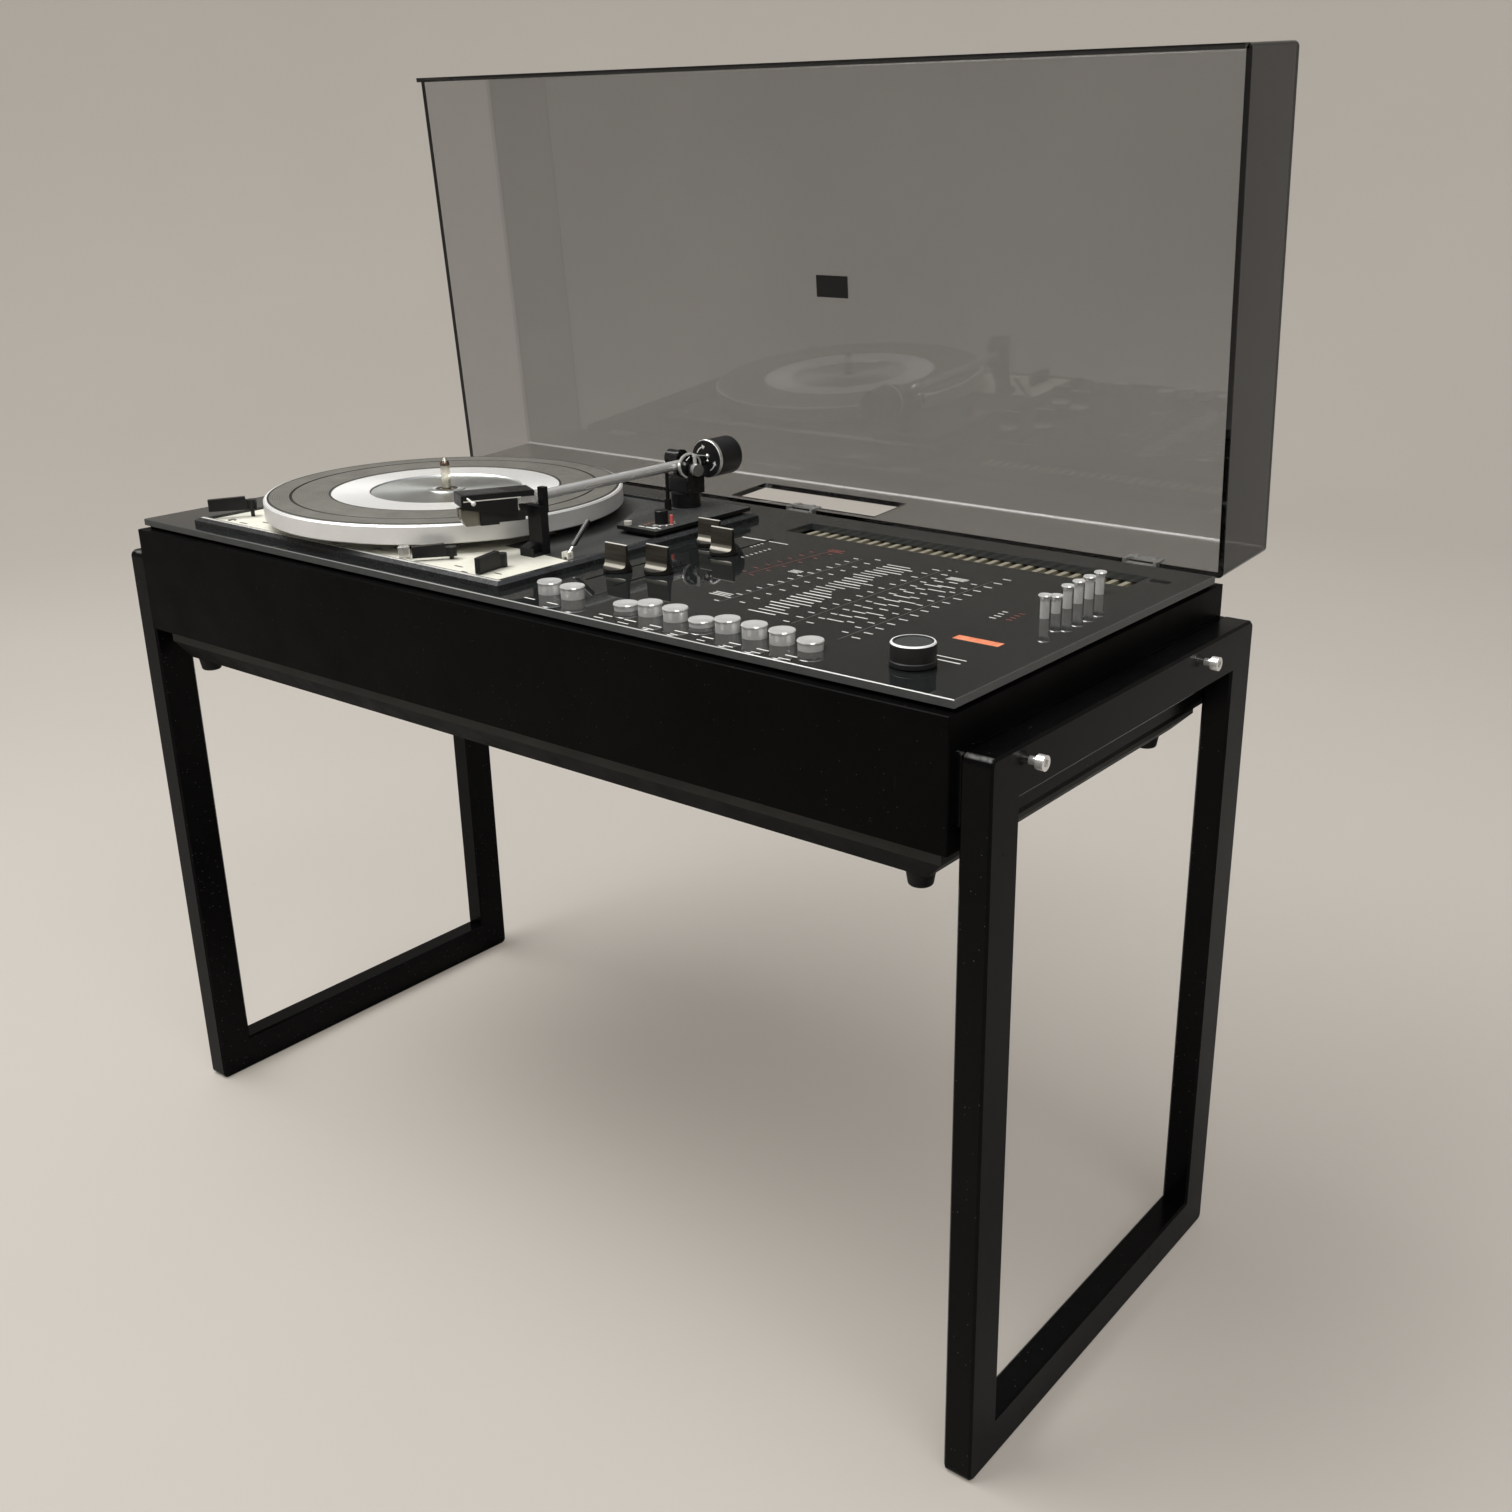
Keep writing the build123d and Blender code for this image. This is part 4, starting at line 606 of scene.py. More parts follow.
def spindle_paint():
    """A brass-toned pin with a dark neck under its bright tip."""
    paint = Paint("spindle", metallic=1.0)
    height = paint.math("SUBTRACT", paint.place_part(2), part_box("spindle")[1].z)
    neck = paint.near(height, -0.0042, 0.0018)
    lines = paint.noise(500, 3, paint.mapped(scale=(1, 1, 0.05)))
    brass = paint.mix(paint.range(lines, 0.35, 0.65), (0.9, 0.86, 0.74), (0.7, 0.66, 0.54))
    paint.colour(paint.mix(neck, brass, (0.26, 0.19, 0.16)))
    paint.rough(paint.range(lines, 0.3, 0.7, 0.1, 0.2))
    paint.relief(lines, 0.00002, 0.5)
    return paint.material


SIDE_DISC = on_yoke(0, -2.9, 2.9)
LIP_RADIUS = 0.0092
LIP_OUTWARD = 0.0098
LIP_BOTTOM = 0.54105
SCREW_FROM = 0.0128
SCREW_FACE = 0.0174


def yoke_paint():
    """A satin black block with a chrome ring, and a chrome pivot screw with a grey face."""
    paint = Paint("arm_yoke", specular=0.3)
    outward = paint.along(PIVOT_OUT, PIVOT)
    back = paint.along(PIVOT_BACK, SIDE_DISC)
    rise = paint.along((0, 0, 1), SIDE_DISC)
    away = paint.math("SQRT", paint.math("ADD", paint.both(back, back), paint.both(rise, rise)), 0.0)
    ring = paint.both(paint.near(away, LIP_RADIUS, 0.00075), paint.near(outward, LIP_OUTWARD, 0.0013))
    ring = paint.both(ring, paint.above(paint.place_part(2), LIP_BOTTOM, 0.00025))
    bright = paint.either(ring, paint.above(outward, SCREW_FROM, 0.0001))
    cloud = paint.cloud(150, 3)
    black = paint.mix(cloud, (0.006, 0.006, 0.0065), (0.013, 0.013, 0.0135))
    chrome = paint.mix(paint.above(outward, SCREW_FACE, 0.00005), (0.93, 0.93, 0.92), (0.3, 0.3, 0.29))
    paint.colour(paint.mix(bright, black, chrome))
    paint.metallic(paint.both(bright, 0.75))
    paint.rough(paint.range(cloud, 0, 1, 0.14, 0.28))
    return paint.material


PALE_SCREW = at(-21, 179, 0)
PALE_SCREW_RADIUS = 0.0031
PALE_SCREW_FROM = 0.5176
PLATE_FACE_TO = 0.5177


def arm_base_paint():
    """A grained dark grey plate that carries a black pillar and a pale screw."""
    paint = Paint("arm_base", specular=0.25)
    height = paint.place_part(2)
    level = paint.above(paint.normal_part(2), *LEVEL_FACE)
    plate = paint.both(paint.below(height, PLATE_FACE_TO, 0.0001), level)
    screw = paint.both(
        paint.below(paint.radius(PALE_SCREW), PALE_SCREW_RADIUS, 0.0001),
        paint.above(height, PALE_SCREW_FROM, 0.0001),
    )
    cloud = paint.cloud(250, 4)
    black = paint.mix(cloud, (0.005, 0.005, 0.005), (0.01, 0.01, 0.01))
    grey = paint.mix(cloud, (0.035, 0.036, 0.035), (0.06, 0.061, 0.06))
    paint.colour(paint.mix(screw, paint.mix(plate, black, grey), (0.62, 0.6, 0.54)))
    paint.rough(paint.cloud(900, 2, 0.3, 0.7, 0.3, 0.5))
    paint.relief(paint.noise(1500, 2), 0.00006, 0.6)
    return paint.material


MATERIALS = {
    "stand_black": hoop_enamel(),
    "cabinet_black": cabinet_enamel(),
    "pan_black": pan_enamel(),
    "bolt_steel": metal(
        "bolt_steel", (0.93, 0.92, 0.9), rough=0.22, stretch=(1, 8, 8), tarnish=0.85, shine=0.7,
    ),
    "foot_rubber": moulded("foot_rubber", (0.004, 0.004, 0.004), rough=0.6, specular=0.2),
    "panel_acrylic": acrylic_black(),
    "lid_acrylic": smoked_acrylic(),
    "hinge_metal": metal("hinge_metal", (0.5, 0.5, 0.49), rough=0.34, shine=0.8),
    "fin_aluminium": metal("fin_aluminium", (0.42, 0.39, 0.3), rough=0.5, stretch=(1, 0.2, 1), shine=0.5),
    "inner_steel": metal("inner_steel", (0.45, 0.45, 0.45), rough=0.4),
    "board_laminate": moulded("board_laminate", (0.05, 0.035, 0.018), rough=0.5),
    "socket_black": moulded("socket_black", (0.012, 0.012, 0.012)),
    "chassis_cream": moulded("chassis_cream", (0.72, 0.71, 0.62), rough=0.35, variation=1.08),
    "bezel_aluminium": black_bezel(),
    "spring_steel": metal("spring_steel", (0.4, 0.4, 0.4), rough=0.35),
    "bright_steel": metal(
        "bright_steel", (0.9, 0.87, 0.78), rough=0.18, stretch=(1, 1, 0.1), tarnish=0.85, shine=0.75,
    ),
    "platter_aluminium": platter_metal(),
    "mat_rubber": mat_rubber(),
    "arm_black": moulded("arm_black", (0.006, 0.006, 0.0065), rough=0.36, specular=0.28),
    "weight_black": weight_paint(),
    "knob_black": moulded("knob_black", (0.006, 0.006, 0.0065), rough=0.35, specular=0.3),
    "knob_brown": slide_knob_metal(),
    "clear_plastic": clear_plastic("clear_plastic", (0.93, 0.93, 0.9)),
    "cartridge_grey": moulded("cartridge_grey", (0.012, 0.012, 0.012), rough=0.4),
}
NODE_PAINTS = {
    "cue_lever": cue_metal(),
    "tuning_knob": ringed_knob(),
    "arm_yoke": yoke_paint(),
    "tone_arm": tube_paint(),
    "spindle": spindle_paint(),
    "arm_base": arm_base_paint(),
}

slot_of = {part["node"]: part["material_slot"] for part in frame["record"]["subparts"]}
for node, thing in frame["nodes"].items():
    slot_name = slot_of[node]
    if slot_name == "button_aluminium":
        made = turned_knob(node)
    elif node in NODE_PAINTS:
        made = NODE_PAINTS[node]
    else:
        made = MATERIALS[slot_name]
    thing.data.materials.clear()
    thing.data.materials.append(made)


# ---- detail pieces --------------------------------------------------------------------------
def close_prism(mesh, lower, upper):
    """Faces over two loops of corners and between them."""
    mesh.faces.new(list(reversed(lower)))
    mesh.faces.new(upper)
    for i in range(len(lower)):
        after = (i + 1) % len(lower)
        mesh.faces.new((lower[i], lower[after], upper[after], upper[i]))


def rectangle(us, vs):
    """The four corners between two values each way."""
    return [(us[0], vs[0]), (us[1], vs[0]), (us[1], vs[1]), (us[0], vs[1])]


def solid(mesh, place, outline, levels):
    """A flat outline carried between two levels; place(u, v, level) turns a corner into a point."""
    lower, upper = ([mesh.verts.new(place(u, v, level)) for u, v in outline] for level in levels)
    close_prism(mesh, lower, upper)


def block(mesh, xs, ys, zs):
    """A box between two X, two depth and two height values in mm."""
    solid(mesh, at, rectangle(xs, ys), zs)


def rod(mesh, start, end, radius, end_radius=None, sides=24):
    """A round bar between two points in metres, with its radius in mm."""
    run = end - start
    across = run.orthogonal().normalized()
    beside = run.cross(across).normalized()
    rings = []
    for middle, size in ((start, radius), (end, end_radius or radius)):
        rings.append([
            mesh.verts.new(middle + (across * math.cos(turn) + beside * math.sin(turn)) * size * MM)
            for turn in (math.tau * i / sides for i in range(sides))
        ])
    close_prism(mesh, *rings)


def ball(mesh, middle, radius):
    """A sphere round a point in metres, with its radius in mm."""
    place = Matrix.Translation(middle)
    bmesh.ops.create_uvsphere(mesh, u_segments=20, v_segments=12, radius=radius * MM, matrix=place)


def make(name, body, material, draw, soften=0.0):
    """One detail piece that rides on a body: draw(mesh) adds its geometry."""
    mesh = bmesh.new()
    draw(mesh)
    bmesh.ops.recalc_face_normals(mesh, faces=mesh.faces)
    data = bpy.data.meshes.new(name)
    mesh.to_mesh(data)
    mesh.free()
    thing = bpy.data.objects.new(name, data)
    bpy.context.scene.collection.objects.link(thing)
    data.materials.append(material)
    if soften:
        rounding = thing.modifiers.new("rounding", "BEVEL")
        rounding.width = soften * MM
        rounding.segments = 2
    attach(thing, body)


def ink(name, colour):
    """Printed ink, slightly uneven."""
    paint = Paint(name, specular=0.3)
    cloud = paint.cloud(900, 3, 0.35, 0.65)
    paint.colour(paint.mix(cloud, colour, toned(colour, 0.72)))
    paint.rough(paint.range(cloud, 0, 1, 0.45, 0.6))
    paint.relief(paint.noise(2500, 2), 0.00001, 0.4)
    return paint.material


WHITE_INK = ink("white_ink", (0.85, 0.84, 0.8))
GREY_INK = ink("grey_ink", (0.13, 0.12, 0.115))
RED_INK = ink("red_ink", (0.24, 0.07, 0.055))
INK_THICKNESS = 0.06
draw_order = random.Random(SEED)


class Print:
    """Flat marks on one face, in mm: x from the middle and distance behind the apron's face."""

    def __init__(self):
        self.marks = []

    def dash(self, x, y, length, width=1.1):
        """A short bar along x, round its middle."""
        half, thick = length / 2, width / 2
        self.marks.append(rectangle((x - half, x + half), (y - thick, y + thick)))

    def column(self, x, ys, pitch, length, lean=0.0, spread=0.0):
        """Dashes from ys[0] to ys[1]; lean moves them along x over the whole column."""
        run = ys[1] - ys[0]
        count = max(1, round(run / pitch))
        for i in range(count + 1):
            part = i / count
            wobble = draw_order.uniform(-spread, spread)
            self.dash(x + lean * part + wobble, ys[0] + run * part, length + wobble)

    def rule(self, start, end, width=0.45):
        """A thin line, mostly along the depth."""
        half = width / 2
        self.marks.append([
            (start[0] - half, start[1]), (start[0] + half, start[1]),
            (end[0] + half, end[1]), (end[0] - half, end[1]),
        ])

    def make(self, name, material, z=PANEL_TOP, slot="panel_acrylic"):
        def draw(mesh):
            for outline in self.marks:
                solid(mesh, at, outline, (z, z + INK_THICKNESS))

        make(name, "cabinet", material, draw)


BLOCK_ROWS = 26
BLOCK_YS = (79, 225)
PAIR_ROWS = 11
PAIR_PITCH = 11.6
BUTTON_LABELS = 8
LABEL_START = 114.1
LABEL_PITCH = 20.8

# Dashes stand where a panel has words.
white = Print()
white.dash(55, 232, 21.6, 1.6)
white.dash(78.1, 232, 17.6, 1.2)
white.column(70, (211, 223), 4, 2.4)
white.column(85, (183, 213), 5, 2.4)
white.column(147, (84, 226), 10.5, 4.6, lean=6, spread=0.8)
white.column(163, (90, 232), 12.5, 4.6, lean=4, spread=0.8)
white.column(141, (170, 175), 2.6, 9, spread=1.2)
white.column(138, (95, 101), 2.8, 14, spread=1.5)
for i in range(BLOCK_ROWS):
    start = draw_order.uniform(175.5, 181)
    length = draw_order.uniform(14, 27)
    y = BLOCK_YS[0] + (BLOCK_YS[1] - BLOCK_YS[0]) * i / (BLOCK_ROWS - 1)
    white.dash(start + length / 2, y, length, draw_order.uniform(0.9, 1.7))
white.column(213, (72, 232), 12.0, 5.2, lean=2, spread=0.6)
white.column(226, (78, 236), 12.0, 5.2, lean=2, spread=0.6)
for row in range(PAIR_ROWS):
    for across in range(2):
        length = draw_order.uniform(5, 14)
        x = 233 + 10 * across + draw_order.uniform(-1, 1) + length / 4
        white.dash(x, 91 + PAIR_PITCH * row + 2.5 * across, length, 1.2)
white.column(241, (216, 221), 2.6, 14, spread=1.0)
white.dash(226, 236, 6)
white.column(255.5, (74, 214), 12.5, 4.6, lean=2, spread=0.5)
white.column(267.5, (68, 237), 12.0, 6.0, lean=1, spread=0.5)
white.dash(337, 60.6, 16, 1.4)
white.dash(335, 67.0, 20, 1.0)
white.column(310, (152, 168), 5.2, 5, spread=1.0)
for x in (46.6, 67.4):
    white.dash(x, 17, 9.5, 1.3)
for i in range(BUTTON_LABELS):
    x = LABEL_START + LABEL_PITCH * i
    white.dash(x, 17, draw_order.uniform(8, 11), 1.3)
    white.dash(x, 10.6, draw_order.uniform(5, 9), 1.0)
white.make("panel_print_white", WHITE_INK)

grey = Print()
grey.rule((150, 81), (157, 228))
grey.rule((218, 70), (220, 234))
grey.rule((261, 59), (263, 228))
grey.make("panel_print_lines", GREY_INK)

red = Print()
red.rule((118, 150), (125, 236), 0.5)
red.column(112, (153, 224), 12, 3.6, lean=3, spread=0.5)
red.column(122.5, (148, 226), 15, 3.6, lean=8, spread=0.5)
red.column(128, (233, 238), 2.5, 12, spread=2)
red.column(320, (154, 170), 5.4, 4, spread=0.6)
red.make("panel_print_red", RED_INK)


def amber_window():
    """Orange plastic with faint lines across it."""
    paint = Paint("amber_window", specular=0.5)
    glow = paint.cloud(120, 3)
    across = paint.range(paint.noise(500, 2, paint.mapped(scale=(1, 0.1, 1))), 0.4, 0.6)
    base = paint.mix(glow, (0.78, 0.2, 0.09), (0.86, 0.3, 0.16))
    paint.colour(paint.mix(paint.both(across, 0.3), base, (0.95, 0.45, 0.28)))
    paint.rough(paint.range(glow, 0, 1, 0.12, 0.2))
    paint.relief(across, 0.00003, 0.4)
    return paint.material


WINDOW_X = (312.7, 344.3)
WINDOW_Y = (101.2, 109.8)
WINDOW_Z = (PANEL_TOP - 1.2, PANEL_TOP - 0.2)


def draw_window(mesh):
    block(mesh, WINDOW_X, WINDOW_Y, WINDOW_Z)


make("scale_window", "cabinet", amber_window(), draw_window, soften=0.3)


def trim_leatherette():
    """Dark grained sheet laid on the player's chassis beside the platter."""
    paint = Paint("player_trim", specular=0.3)
    grain = paint.cloud(1100, 3, 0.35, 0.65)
    base = paint.mix(paint.cloud(25, 5), (0.03, 0.031, 0.03), (0.048, 0.049, 0.048))
    paint.colour(paint.mix(paint.both(grain, 0.6), base, (0.085, 0.087, 0.085)))
    paint.rough(paint.range(grain, 0, 1, 0.4, 0.6))
    paint.relief(grain, 0.00012, 0.7)
    return paint.material


TRIM_OUTLINE = (
    (-65, 98), (-49, 98), (0.5, 93.5), (9.8, 92.6), (9.8, 276.8), (-316.8, 276.8), (-316.8, 150), (-65, 150),
)
TRIM_THICKNESS = 0.12


def draw_trim(mesh):
    solid(mesh, at, TRIM_OUTLINE, (PLATE_TOP, PLATE_TOP + TRIM_THICKNESS))


make("player_trim", "cabinet", trim_leatherette(), draw_trim)

SATIN_BLACK = moulded("satin_black", (0.006, 0.006, 0.006), rough=0.35)
PALE_PLASTIC = moulded("pale_plastic", (0.72, 0.71, 0.67), rough=0.35, variation=1.05)
RED_PLASTIC = moulded("red_plastic", (0.62, 0.12, 0.1), rough=0.4, variation=1.15)
GOLD = metal("gold_pins", (0.75, 0.5, 0.22), rough=0.25)
SCREW_METAL = metal("screw_metal", (0.62, 0.6, 0.55), rough=0.3)

# A plain plate on the lid, seen through it.
BADGE_X = (-13.0, 18.0)
BADGE_UP = (158.0, 175.0)
BADGE_BACK = (70.2, 70.75)


def on_lid(x, up, back):
    """A point on the lid: x, height along its leaning face and distance behind it, in mm."""
    return LID_ORIGIN + Vector((x * MM, 0, 0)) + LID_UP * up * MM + LID_BACK * back * MM


def draw_badge(mesh):
    solid(mesh, on_lid, rectangle(BADGE_X, BADGE_UP), BADGE_BACK)


make("lid_plate", "lid", SATIN_BLACK, draw_badge)

ARROW_RADIUS = 9.6
ARROW_HALF = 0.5
ARROW_HEAD_HALF = 2
ARROW_HEAD_TURN = 17
ARROW_STEPS = 14
ARROWS = ((155, 110, -1), (-64, -22, 1))  # first and last turn in degrees, and direction


def on_weight(radius, degrees, lift):
    """A point on the counterweight's front face, lifted off it by mm."""
    turn = math.radians(degrees)
    return Vector((
        WEIGHT_AXIS.x + radius * math.cos(turn) * MM,
        WEIGHT_FRONT - lift * MM,
        WEIGHT_AXIS.z + radius * math.sin(turn) * MM,
    ))


def draw_arrows(mesh):
    """Two curved arrows that show which way the weight turns."""
    lifts = (0.0, INK_THICKNESS)
    for first, last, direction in ARROWS:
        for i in range(ARROW_STEPS):
            turns = [first + (last - first) * (i + j) / ARROW_STEPS for j in (0, 1)]
            band = rectangle((ARROW_RADIUS - ARROW_HALF, ARROW_RADIUS + ARROW_HALF), turns)
            solid(mesh, on_weight, band, lifts)
        head = [
            (ARROW_RADIUS - ARROW_HEAD_HALF, last),
            (ARROW_RADIUS + ARROW_HEAD_HALF, last),
            (ARROW_RADIUS, last + direction * ARROW_HEAD_TURN),
        ]
        solid(mesh, on_weight, head, lifts)


make("weight_arrows", "counterweight", WHITE_INK, draw_arrows)

DIAL_X = -5.0
DIAL_Y = 198.0
DIAL_INK = (ARM_PLATE_TOP, ARM_PLATE_TOP + INK_THICKNESS)
ARC_STEPS = 12
ARC_START = -100
ARC_STEP = 10
ARC_RADII = (6.9, 7.7)
TICK_TURNS = (-85, -55, -25, 5, 35, 65)
TICK_HALF = 3
TICK_RADII = (7.6, 10.6)
# The bars' ends along x and along the depth.
WHITE_BARS = (
    ((-12.6, -7.2), (180.6, 182.4)), ((-5.8, 3.6), (180.9, 182.9)),
    ((-1.2, 3.0), (184.0, 185.8)), ((4.2, 7.4), (183.0, 184.2)),
)
WARM_MARKS = ((-11.8, 188.0), (-13.0, 192.6), (-12.8, 197.4))
WARM_HALF_X = 1.3
WARM_HALF_Y = 0.9
POINTER_X = 2.4
POINTER_Y = 200.8
POINTER_TOP = 524.2


def dial_sector(mesh, radii, degrees):
    """A flat piece of a ring round the small dial."""
    turns = [math.radians(d) for d in degrees]
    outline = [
        (DIAL_X + r * math.cos(turn), DIAL_Y + r * math.sin(turn)) for r, turn in rectangle(radii, turns)
    ]
    solid(mesh, at, outline, DIAL_INK)


def draw_dial_scale(mesh):
    """An arc with ticks round the small dial, and short bars by the plate's front corner."""
    for i in range(ARC_STEPS):
        start = ARC_START + ARC_STEP * i
        dial_sector(mesh, ARC_RADII, (start, start + ARC_STEP))
    for turn in TICK_TURNS:
        dial_sector(mesh, TICK_RADII, (turn - TICK_HALF, turn + TICK_HALF))
    for xs, ys in WHITE_BARS:
        block(mesh, xs, ys, DIAL_INK)


def draw_dial_warm(mesh):
    """Three warm marks to the left of the dial."""
    for x, y in WARM_MARKS:
        block(mesh, (x - WARM_HALF_X, x + WARM_HALF_X), (y - WARM_HALF_Y, y + WARM_HALF_Y), DIAL_INK)


def draw_pointer(mesh):
    foot = at(POINTER_X, POINTER_Y, ARM_PLATE_TOP)
    rod(mesh, foot, at(POINTER_X, POINTER_Y, POINTER_TOP), 1.4, 1.2)


make("dial_scale", "cabinet", WHITE_INK, draw_dial_scale)
make("dial_warm_marks", "cabinet", ink("warm_ink", (0.4, 0.2, 0.12)), draw_dial_warm)
make("dial_pointer", "cabinet", RED_PLASTIC, draw_pointer, soften=0.3)

CHROME = metal("chrome", (0.95, 0.95, 0.94), rough=0.12, tarnish=0.9, shine=0.7)
STEM_OUT = 13.7
WIRE = 0.35
WIRE_SIDES = 12


def draw_yoke_fittings(mesh):
    """A stem above the pivot, a bent wire to a hung bead, and a screw and a pin in the side disc."""
    rod(mesh, on_yoke(STEM_OUT, -0.6, 3.6), on_yoke(STEM_OUT, -0.6, 10.0), 1.5)
    rod(mesh, on_yoke(STEM_OUT, -0.6, 10.0), on_yoke(STEM_OUT, -0.6, 11.8), 2.1)
    rod(mesh, on_yoke(STEM_OUT, 0.5, 11.0), on_yoke(STEM_OUT, 10.2, 9.6), WIRE, sides=WIRE_SIDES)
    ball(mesh, on_yoke(STEM_OUT, 11.0, 9.4), 1.5)
    rod(mesh, on_yoke(STEM_OUT, 11.0, 9.4), on_yoke(STEM_OUT, 11.0, 6.0), WIRE, sides=WIRE_SIDES)
    ball(mesh, on_yoke(STEM_OUT, 11.0, 5.6), 0.9)
    rod(mesh, on_yoke(10.2, -8.45, 5.2), on_yoke(11.3, -8.45, 5.2), 1.45, 1.2)
    rod(mesh, on_yoke(10.7, -6.6, 7.2), on_yoke(10.7, -3.4, 9.8), WIRE, sides=WIRE_SIDES)


make("yoke_fittings", "arm_yoke", CHROME, draw_yoke_fittings)

HEAD_TURN = math.radians(26.8)
HEAD_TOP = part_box("headshell")[1].z / MM
HEAD_X = -33
HEAD_Y = 99


def on_head(forward, aside, z):
    """A point on the headshell: forward, to its right and height, in mm."""
    return at(
        HEAD_X - forward * math.sin(HEAD_TURN) + aside * math.cos(HEAD_TURN),
        HEAD_Y - forward * math.cos(HEAD_TURN) - aside * math.sin(HEAD_TURN),
        z,
    )


RIBS = 12
RIB_START = 24.5
RIB_PITCH = 2.4
RIB_WIDTH = 1.1
RIB_SLANT = 3.0
RIB_HALF = 9.0
RIB_LEVELS = (HEAD_TOP - 0.1, HEAD_TOP + 0.35)


def draw_head_ribs(mesh):
    """Slanting ribs over the headshell's top."""
    for i in range(RIBS):
        start = RIB_START + RIB_PITCH * i
        far = start - RIB_SLANT
        rib = [
            (start, -RIB_HALF), (start + RIB_WIDTH, -RIB_HALF), (far + RIB_WIDTH, RIB_HALF), (far, RIB_HALF),
        ]
        solid(mesh, on_head, rib, RIB_LEVELS)


RIB_GREY = moulded("rib_grey", (0.06, 0.06, 0.06), rough=0.4)
make("headshell_ribs", "tone_arm", RIB_GREY, draw_head_ribs)

SEAM_FORWARD = (11.6, 51.5)
SEAM_ASIDE = (9.95, 10.12)
SEAM_Z = (552.6, 553.3)


def draw_head_seam(mesh):
    """A thin pale line along the headshell's right side."""
    solid(mesh, on_head, rectangle(SEAM_FORWARD, SEAM_ASIDE), SEAM_Z)


make("headshell_seam", "tone_arm", PALE_PLASTIC, draw_head_seam)

FINGER_FORWARD = 48.5


def draw_finger_lift(mesh):
    """A thin handle at the headshell's front, with a ball on its end."""
    rod(mesh, on_head(FINGER_FORWARD, 9.0, 555), on_head(FINGER_FORWARD, 25.0, 554.6), 0.75)
    ball(mesh, on_head(FINGER_FORWARD, 26.0, 554.6), 1.6)


make("finger_lift", "tone_arm", PALE_PLASTIC, draw_finger_lift)

PIN_ASIDE = (1.1, 2.6, 4.1, 5.6)
PIN_FORWARD = (15, 27.2)
PIN_HEIGHT = 542.3


def draw_cartridge_pins(mesh):
    for aside in PIN_ASIDE:
        start, end = (on_head(forward, aside, PIN_HEIGHT) for forward in PIN_FORWARD)
        rod(mesh, start, end, 0.45, sides=12)


make("cartridge_pins", "tone_arm", GOLD, draw_cartridge_pins)

GUARD_SIDE = ((40.1, 534.9), (49.7, 534.9), (53.1, 541), (53.1, 546.6), (40.1, 546.6))
GUARD_CHEEKS = ((-5.6, -1.6), (1.6, 5.6))


def on_guard(forward, z, aside):
    return on_head(forward, aside, z)


def draw_guard(mesh):
    """The pale stylus guard: two cheeks at the front of the cartridge."""
    for cheek in GUARD_CHEEKS:
        solid(mesh, on_guard, GUARD_SIDE, cheek)


GUARD = clear_plastic("stylus_guard", (0.9, 0.84, 0.66))
make("stylus_guard", "tone_arm", GUARD, draw_guard, soften=0.3)

CHASSIS_SCREWS = ((-300, 34), (-128, 36), (-44, 60), (-4, 268), (-300, 262))
CHASSIS_SCREW_Z = (PLATE_TOP - 0.3, PLATE_TOP + 0.7)
CHASSIS_MARKS = (
    (-284, 33, 9), (-272, 44, 7), (-96, 43, 7), (-70, 28, 8), (-45, 38, 8), (-8, 40, 7), (-30, 30, 6),
)


def draw_chassis_screws(mesh):
    for x, y in CHASSIS_SCREWS:
        foot, head = (at(x, y, z) for z in CHASSIS_SCREW_Z)
        rod(mesh, foot, head, 3.4, 2.9)


make("chassis_screws", "cabinet", SCREW_METAL, draw_chassis_screws)

chassis_marks = Print()
for x, y, length in CHASSIS_MARKS:
    chassis_marks.dash(x, y, length, 1.6)
chassis_marks.make("chassis_marks", ink("dark_ink", (0.03, 0.03, 0.03)), z=PLATE_TOP, slot="chassis_cream")

panel_plate = Print()
panel_plate.dash(353, 292.5, 14, 7)
panel_plate.make("panel_patch", ink("patch_ink", (0.004, 0.004, 0.004)))

# ---- camera -------------------------------------------------------------------------------
CAMERA_PLACE = at(804.03, -667.03, 775.33)
YAW = math.radians(-36.86)
PITCH = math.radians(20.39)
ROLL = math.radians(-0.22)
FOCAL_PIXELS = 1613.47
CENTRE_RIGHT = 80.16
CENTRE_DOWN = -5.66
SENSOR = 36.0

forward = Vector((math.sin(YAW) * math.cos(PITCH), math.cos(YAW) * math.cos(PITCH), -math.sin(PITCH)))
level_right = Vector((math.cos(YAW), -math.sin(YAW), 0))
level_up = level_right.cross(forward)
right = level_right * math.cos(ROLL) + level_up * math.sin(ROLL)
up = level_up * math.cos(ROLL) - level_right * math.sin(ROLL)
facing = Matrix((right, up, -forward)).transposed().to_4x4()

camera = bpy.data.objects.new("camera", bpy.data.cameras.new("camera"))
bpy.context.scene.collection.objects.link(camera)
camera.matrix_world = Matrix.Translation(CAMERA_PLACE) @ facing
camera.data.sensor_width = SENSOR
camera.data.lens = SENSOR * FOCAL_PIXELS / FRAME_PIXELS
camera.data.shift_x = -CENTRE_RIGHT / FRAME_PIXELS
camera.data.shift_y = CENTRE_DOWN / FRAME_PIXELS
bpy.context.scene.camera = camera

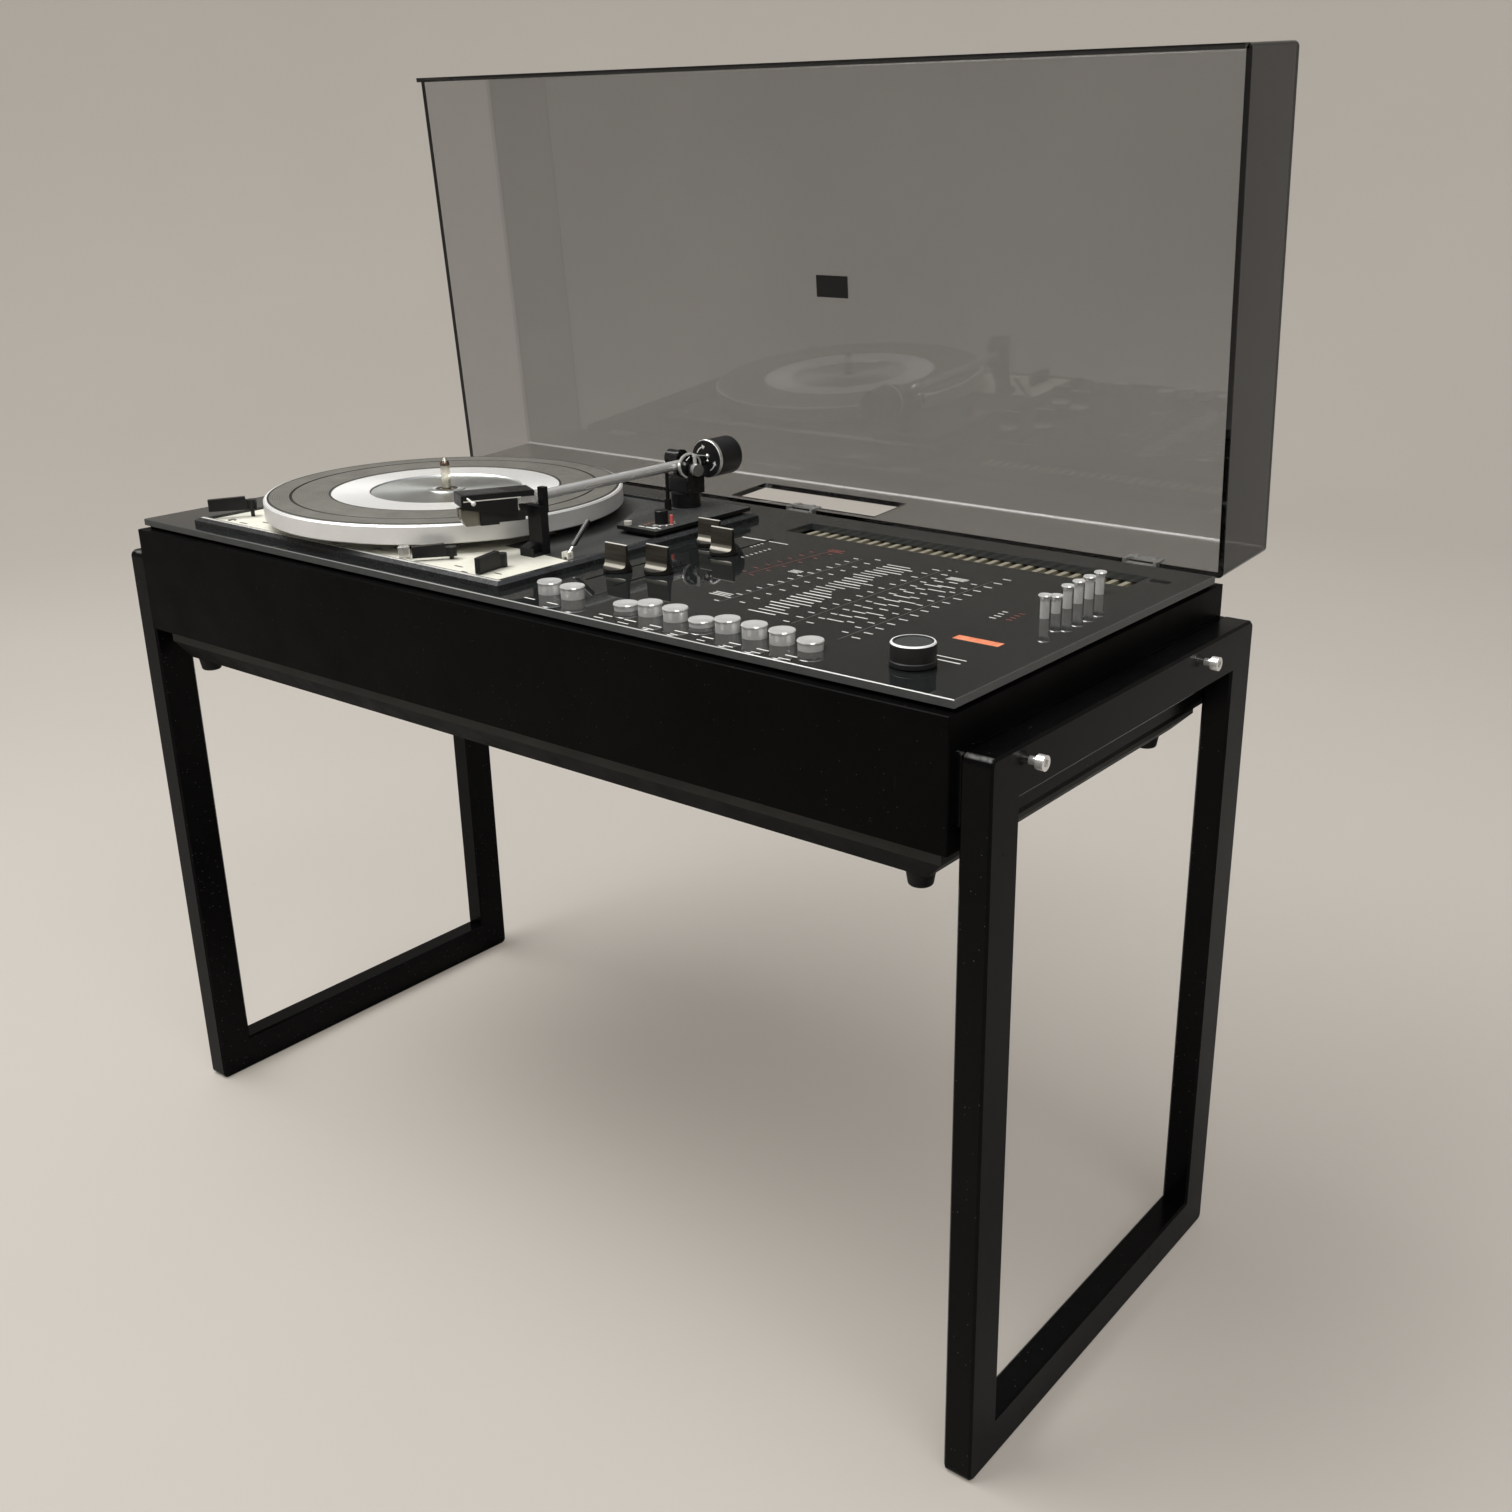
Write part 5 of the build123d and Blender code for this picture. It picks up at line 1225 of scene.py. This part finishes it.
# ---- studio -------------------------------------------------------------------------------
FLOOR_COLOUR = (0.53, 0.505, 0.47)
GLOW_COLOUR = (0.6, 0.535, 0.46)
GLOW_SHARE = 0.3
BACKDROP_FLAT = 2.6
BACKDROP_BEND = 1.6
BACKDROP_TOP = 4.2
BACKDROP_SIDES = 96
BEND_STEPS = 12
LIGHT_TINT = (1.0, 0.985, 0.96)
LIGHT_TARGET = Vector((0, 0, 0.3))
KEY_PLACE = (-1.0, -0.7, 3.0)
KEY_SIZE = (2.2, 1.6)
KEY_POWER = 92
FILL_PLACE = (1.9, -1.2, 2.6)
FILL_SIZE = (1.6, 1.6)
FILL_POWER = 26
WORLD_COLOUR = (0.95, 0.97, 1.0, 1)
WORLD_STRENGTH = 0.55


def studio_paper():
    """Warm grey paper that hardly varies."""
    paint = Paint("studio_paper", specular=0.15, rough=0.8)
    paint.colour(paint.mix(paint.cloud(1.5, 4), FLOOR_COLOUR, toned(FLOOR_COLOUR, 0.96)))
    # The camera sees the paper evened out by a share of glow; it lights and mirrors as plain paper.
    glow = paint.add("Emission")
    paint.feed(glow.inputs["Color"], GLOW_COLOUR)
    seen = paint.add("LightPath").outputs["Is Camera Ray"]
    blend = paint.add("MixShader")
    paint.feed(blend.inputs["Fac"], paint.both(seen, GLOW_SHARE))
    paint.feed(blend.inputs[1], paint.shader.outputs[0])
    paint.feed(blend.inputs[2], glow.outputs[0])
    output = next(node for node in paint.tree.nodes if node.type == "OUTPUT_MATERIAL")
    paint.feed(output.inputs["Surface"], blend.outputs[0])
    return paint.material


def backdrop():
    """A round paper floor that curves up into a wall all the way round."""
    profile = [(BACKDROP_FLAT, 0.0)]
    for i in range(1, BEND_STEPS + 1):
        angle = math.pi / 2 * i / BEND_STEPS
        reach = BACKDROP_FLAT + BACKDROP_BEND * math.sin(angle)
        profile.append((reach, BACKDROP_BEND * (1 - math.cos(angle))))
    profile.append((BACKDROP_FLAT + BACKDROP_BEND, BACKDROP_TOP))
    turns = [math.tau * i / BACKDROP_SIDES for i in range(BACKDROP_SIDES)]
    made = bmesh.new()
    hub = made.verts.new((0, 0, 0))
    loops = [
        [made.verts.new((radius * math.cos(turn), radius * math.sin(turn), height)) for turn in turns]
        for radius, height in profile
    ]
    for i in range(BACKDROP_SIDES):
        following = (i + 1) % BACKDROP_SIDES
        made.faces.new((hub, loops[0][i], loops[0][following]))
        for inner, outer in zip(loops, loops[1:]):
            made.faces.new((inner[i], outer[i], outer[following], inner[following]))
    mesh = bpy.data.meshes.new("backdrop")
    made.to_mesh(mesh)
    made.free()
    for face in mesh.polygons:
        face.use_smooth = True
    thing = bpy.data.objects.new("backdrop", mesh)
    bpy.context.scene.collection.objects.link(thing)
    mesh.materials.append(studio_paper())


backdrop()


def soft_light(name, place, size, power):
    """A rectangular light at a place in metres, turned to the object."""
    lamp = bpy.data.lights.new(name, "AREA")
    lamp.shape = "RECTANGLE"
    lamp.size, lamp.size_y = size
    lamp.energy = power
    lamp.color = LIGHT_TINT
    thing = bpy.data.objects.new(name, lamp)
    bpy.context.scene.collection.objects.link(thing)
    place = Vector(place)
    turn = (LIGHT_TARGET - place).to_track_quat("-Z", "Y").to_matrix().to_4x4()
    thing.matrix_world = Matrix.Translation(place) @ turn


soft_light("key", KEY_PLACE, KEY_SIZE, KEY_POWER)
soft_light("fill", FILL_PLACE, FILL_SIZE, FILL_POWER)

world = bpy.data.worlds.new("studio")
bpy.context.scene.world = world
world.use_nodes = True
world.node_tree.nodes["Background"].inputs["Color"].default_value = WORLD_COLOUR
world.node_tree.nodes["Background"].inputs["Strength"].default_value = WORLD_STRENGTH
bpy.context.scene.view_settings.view_transform = "Standard"
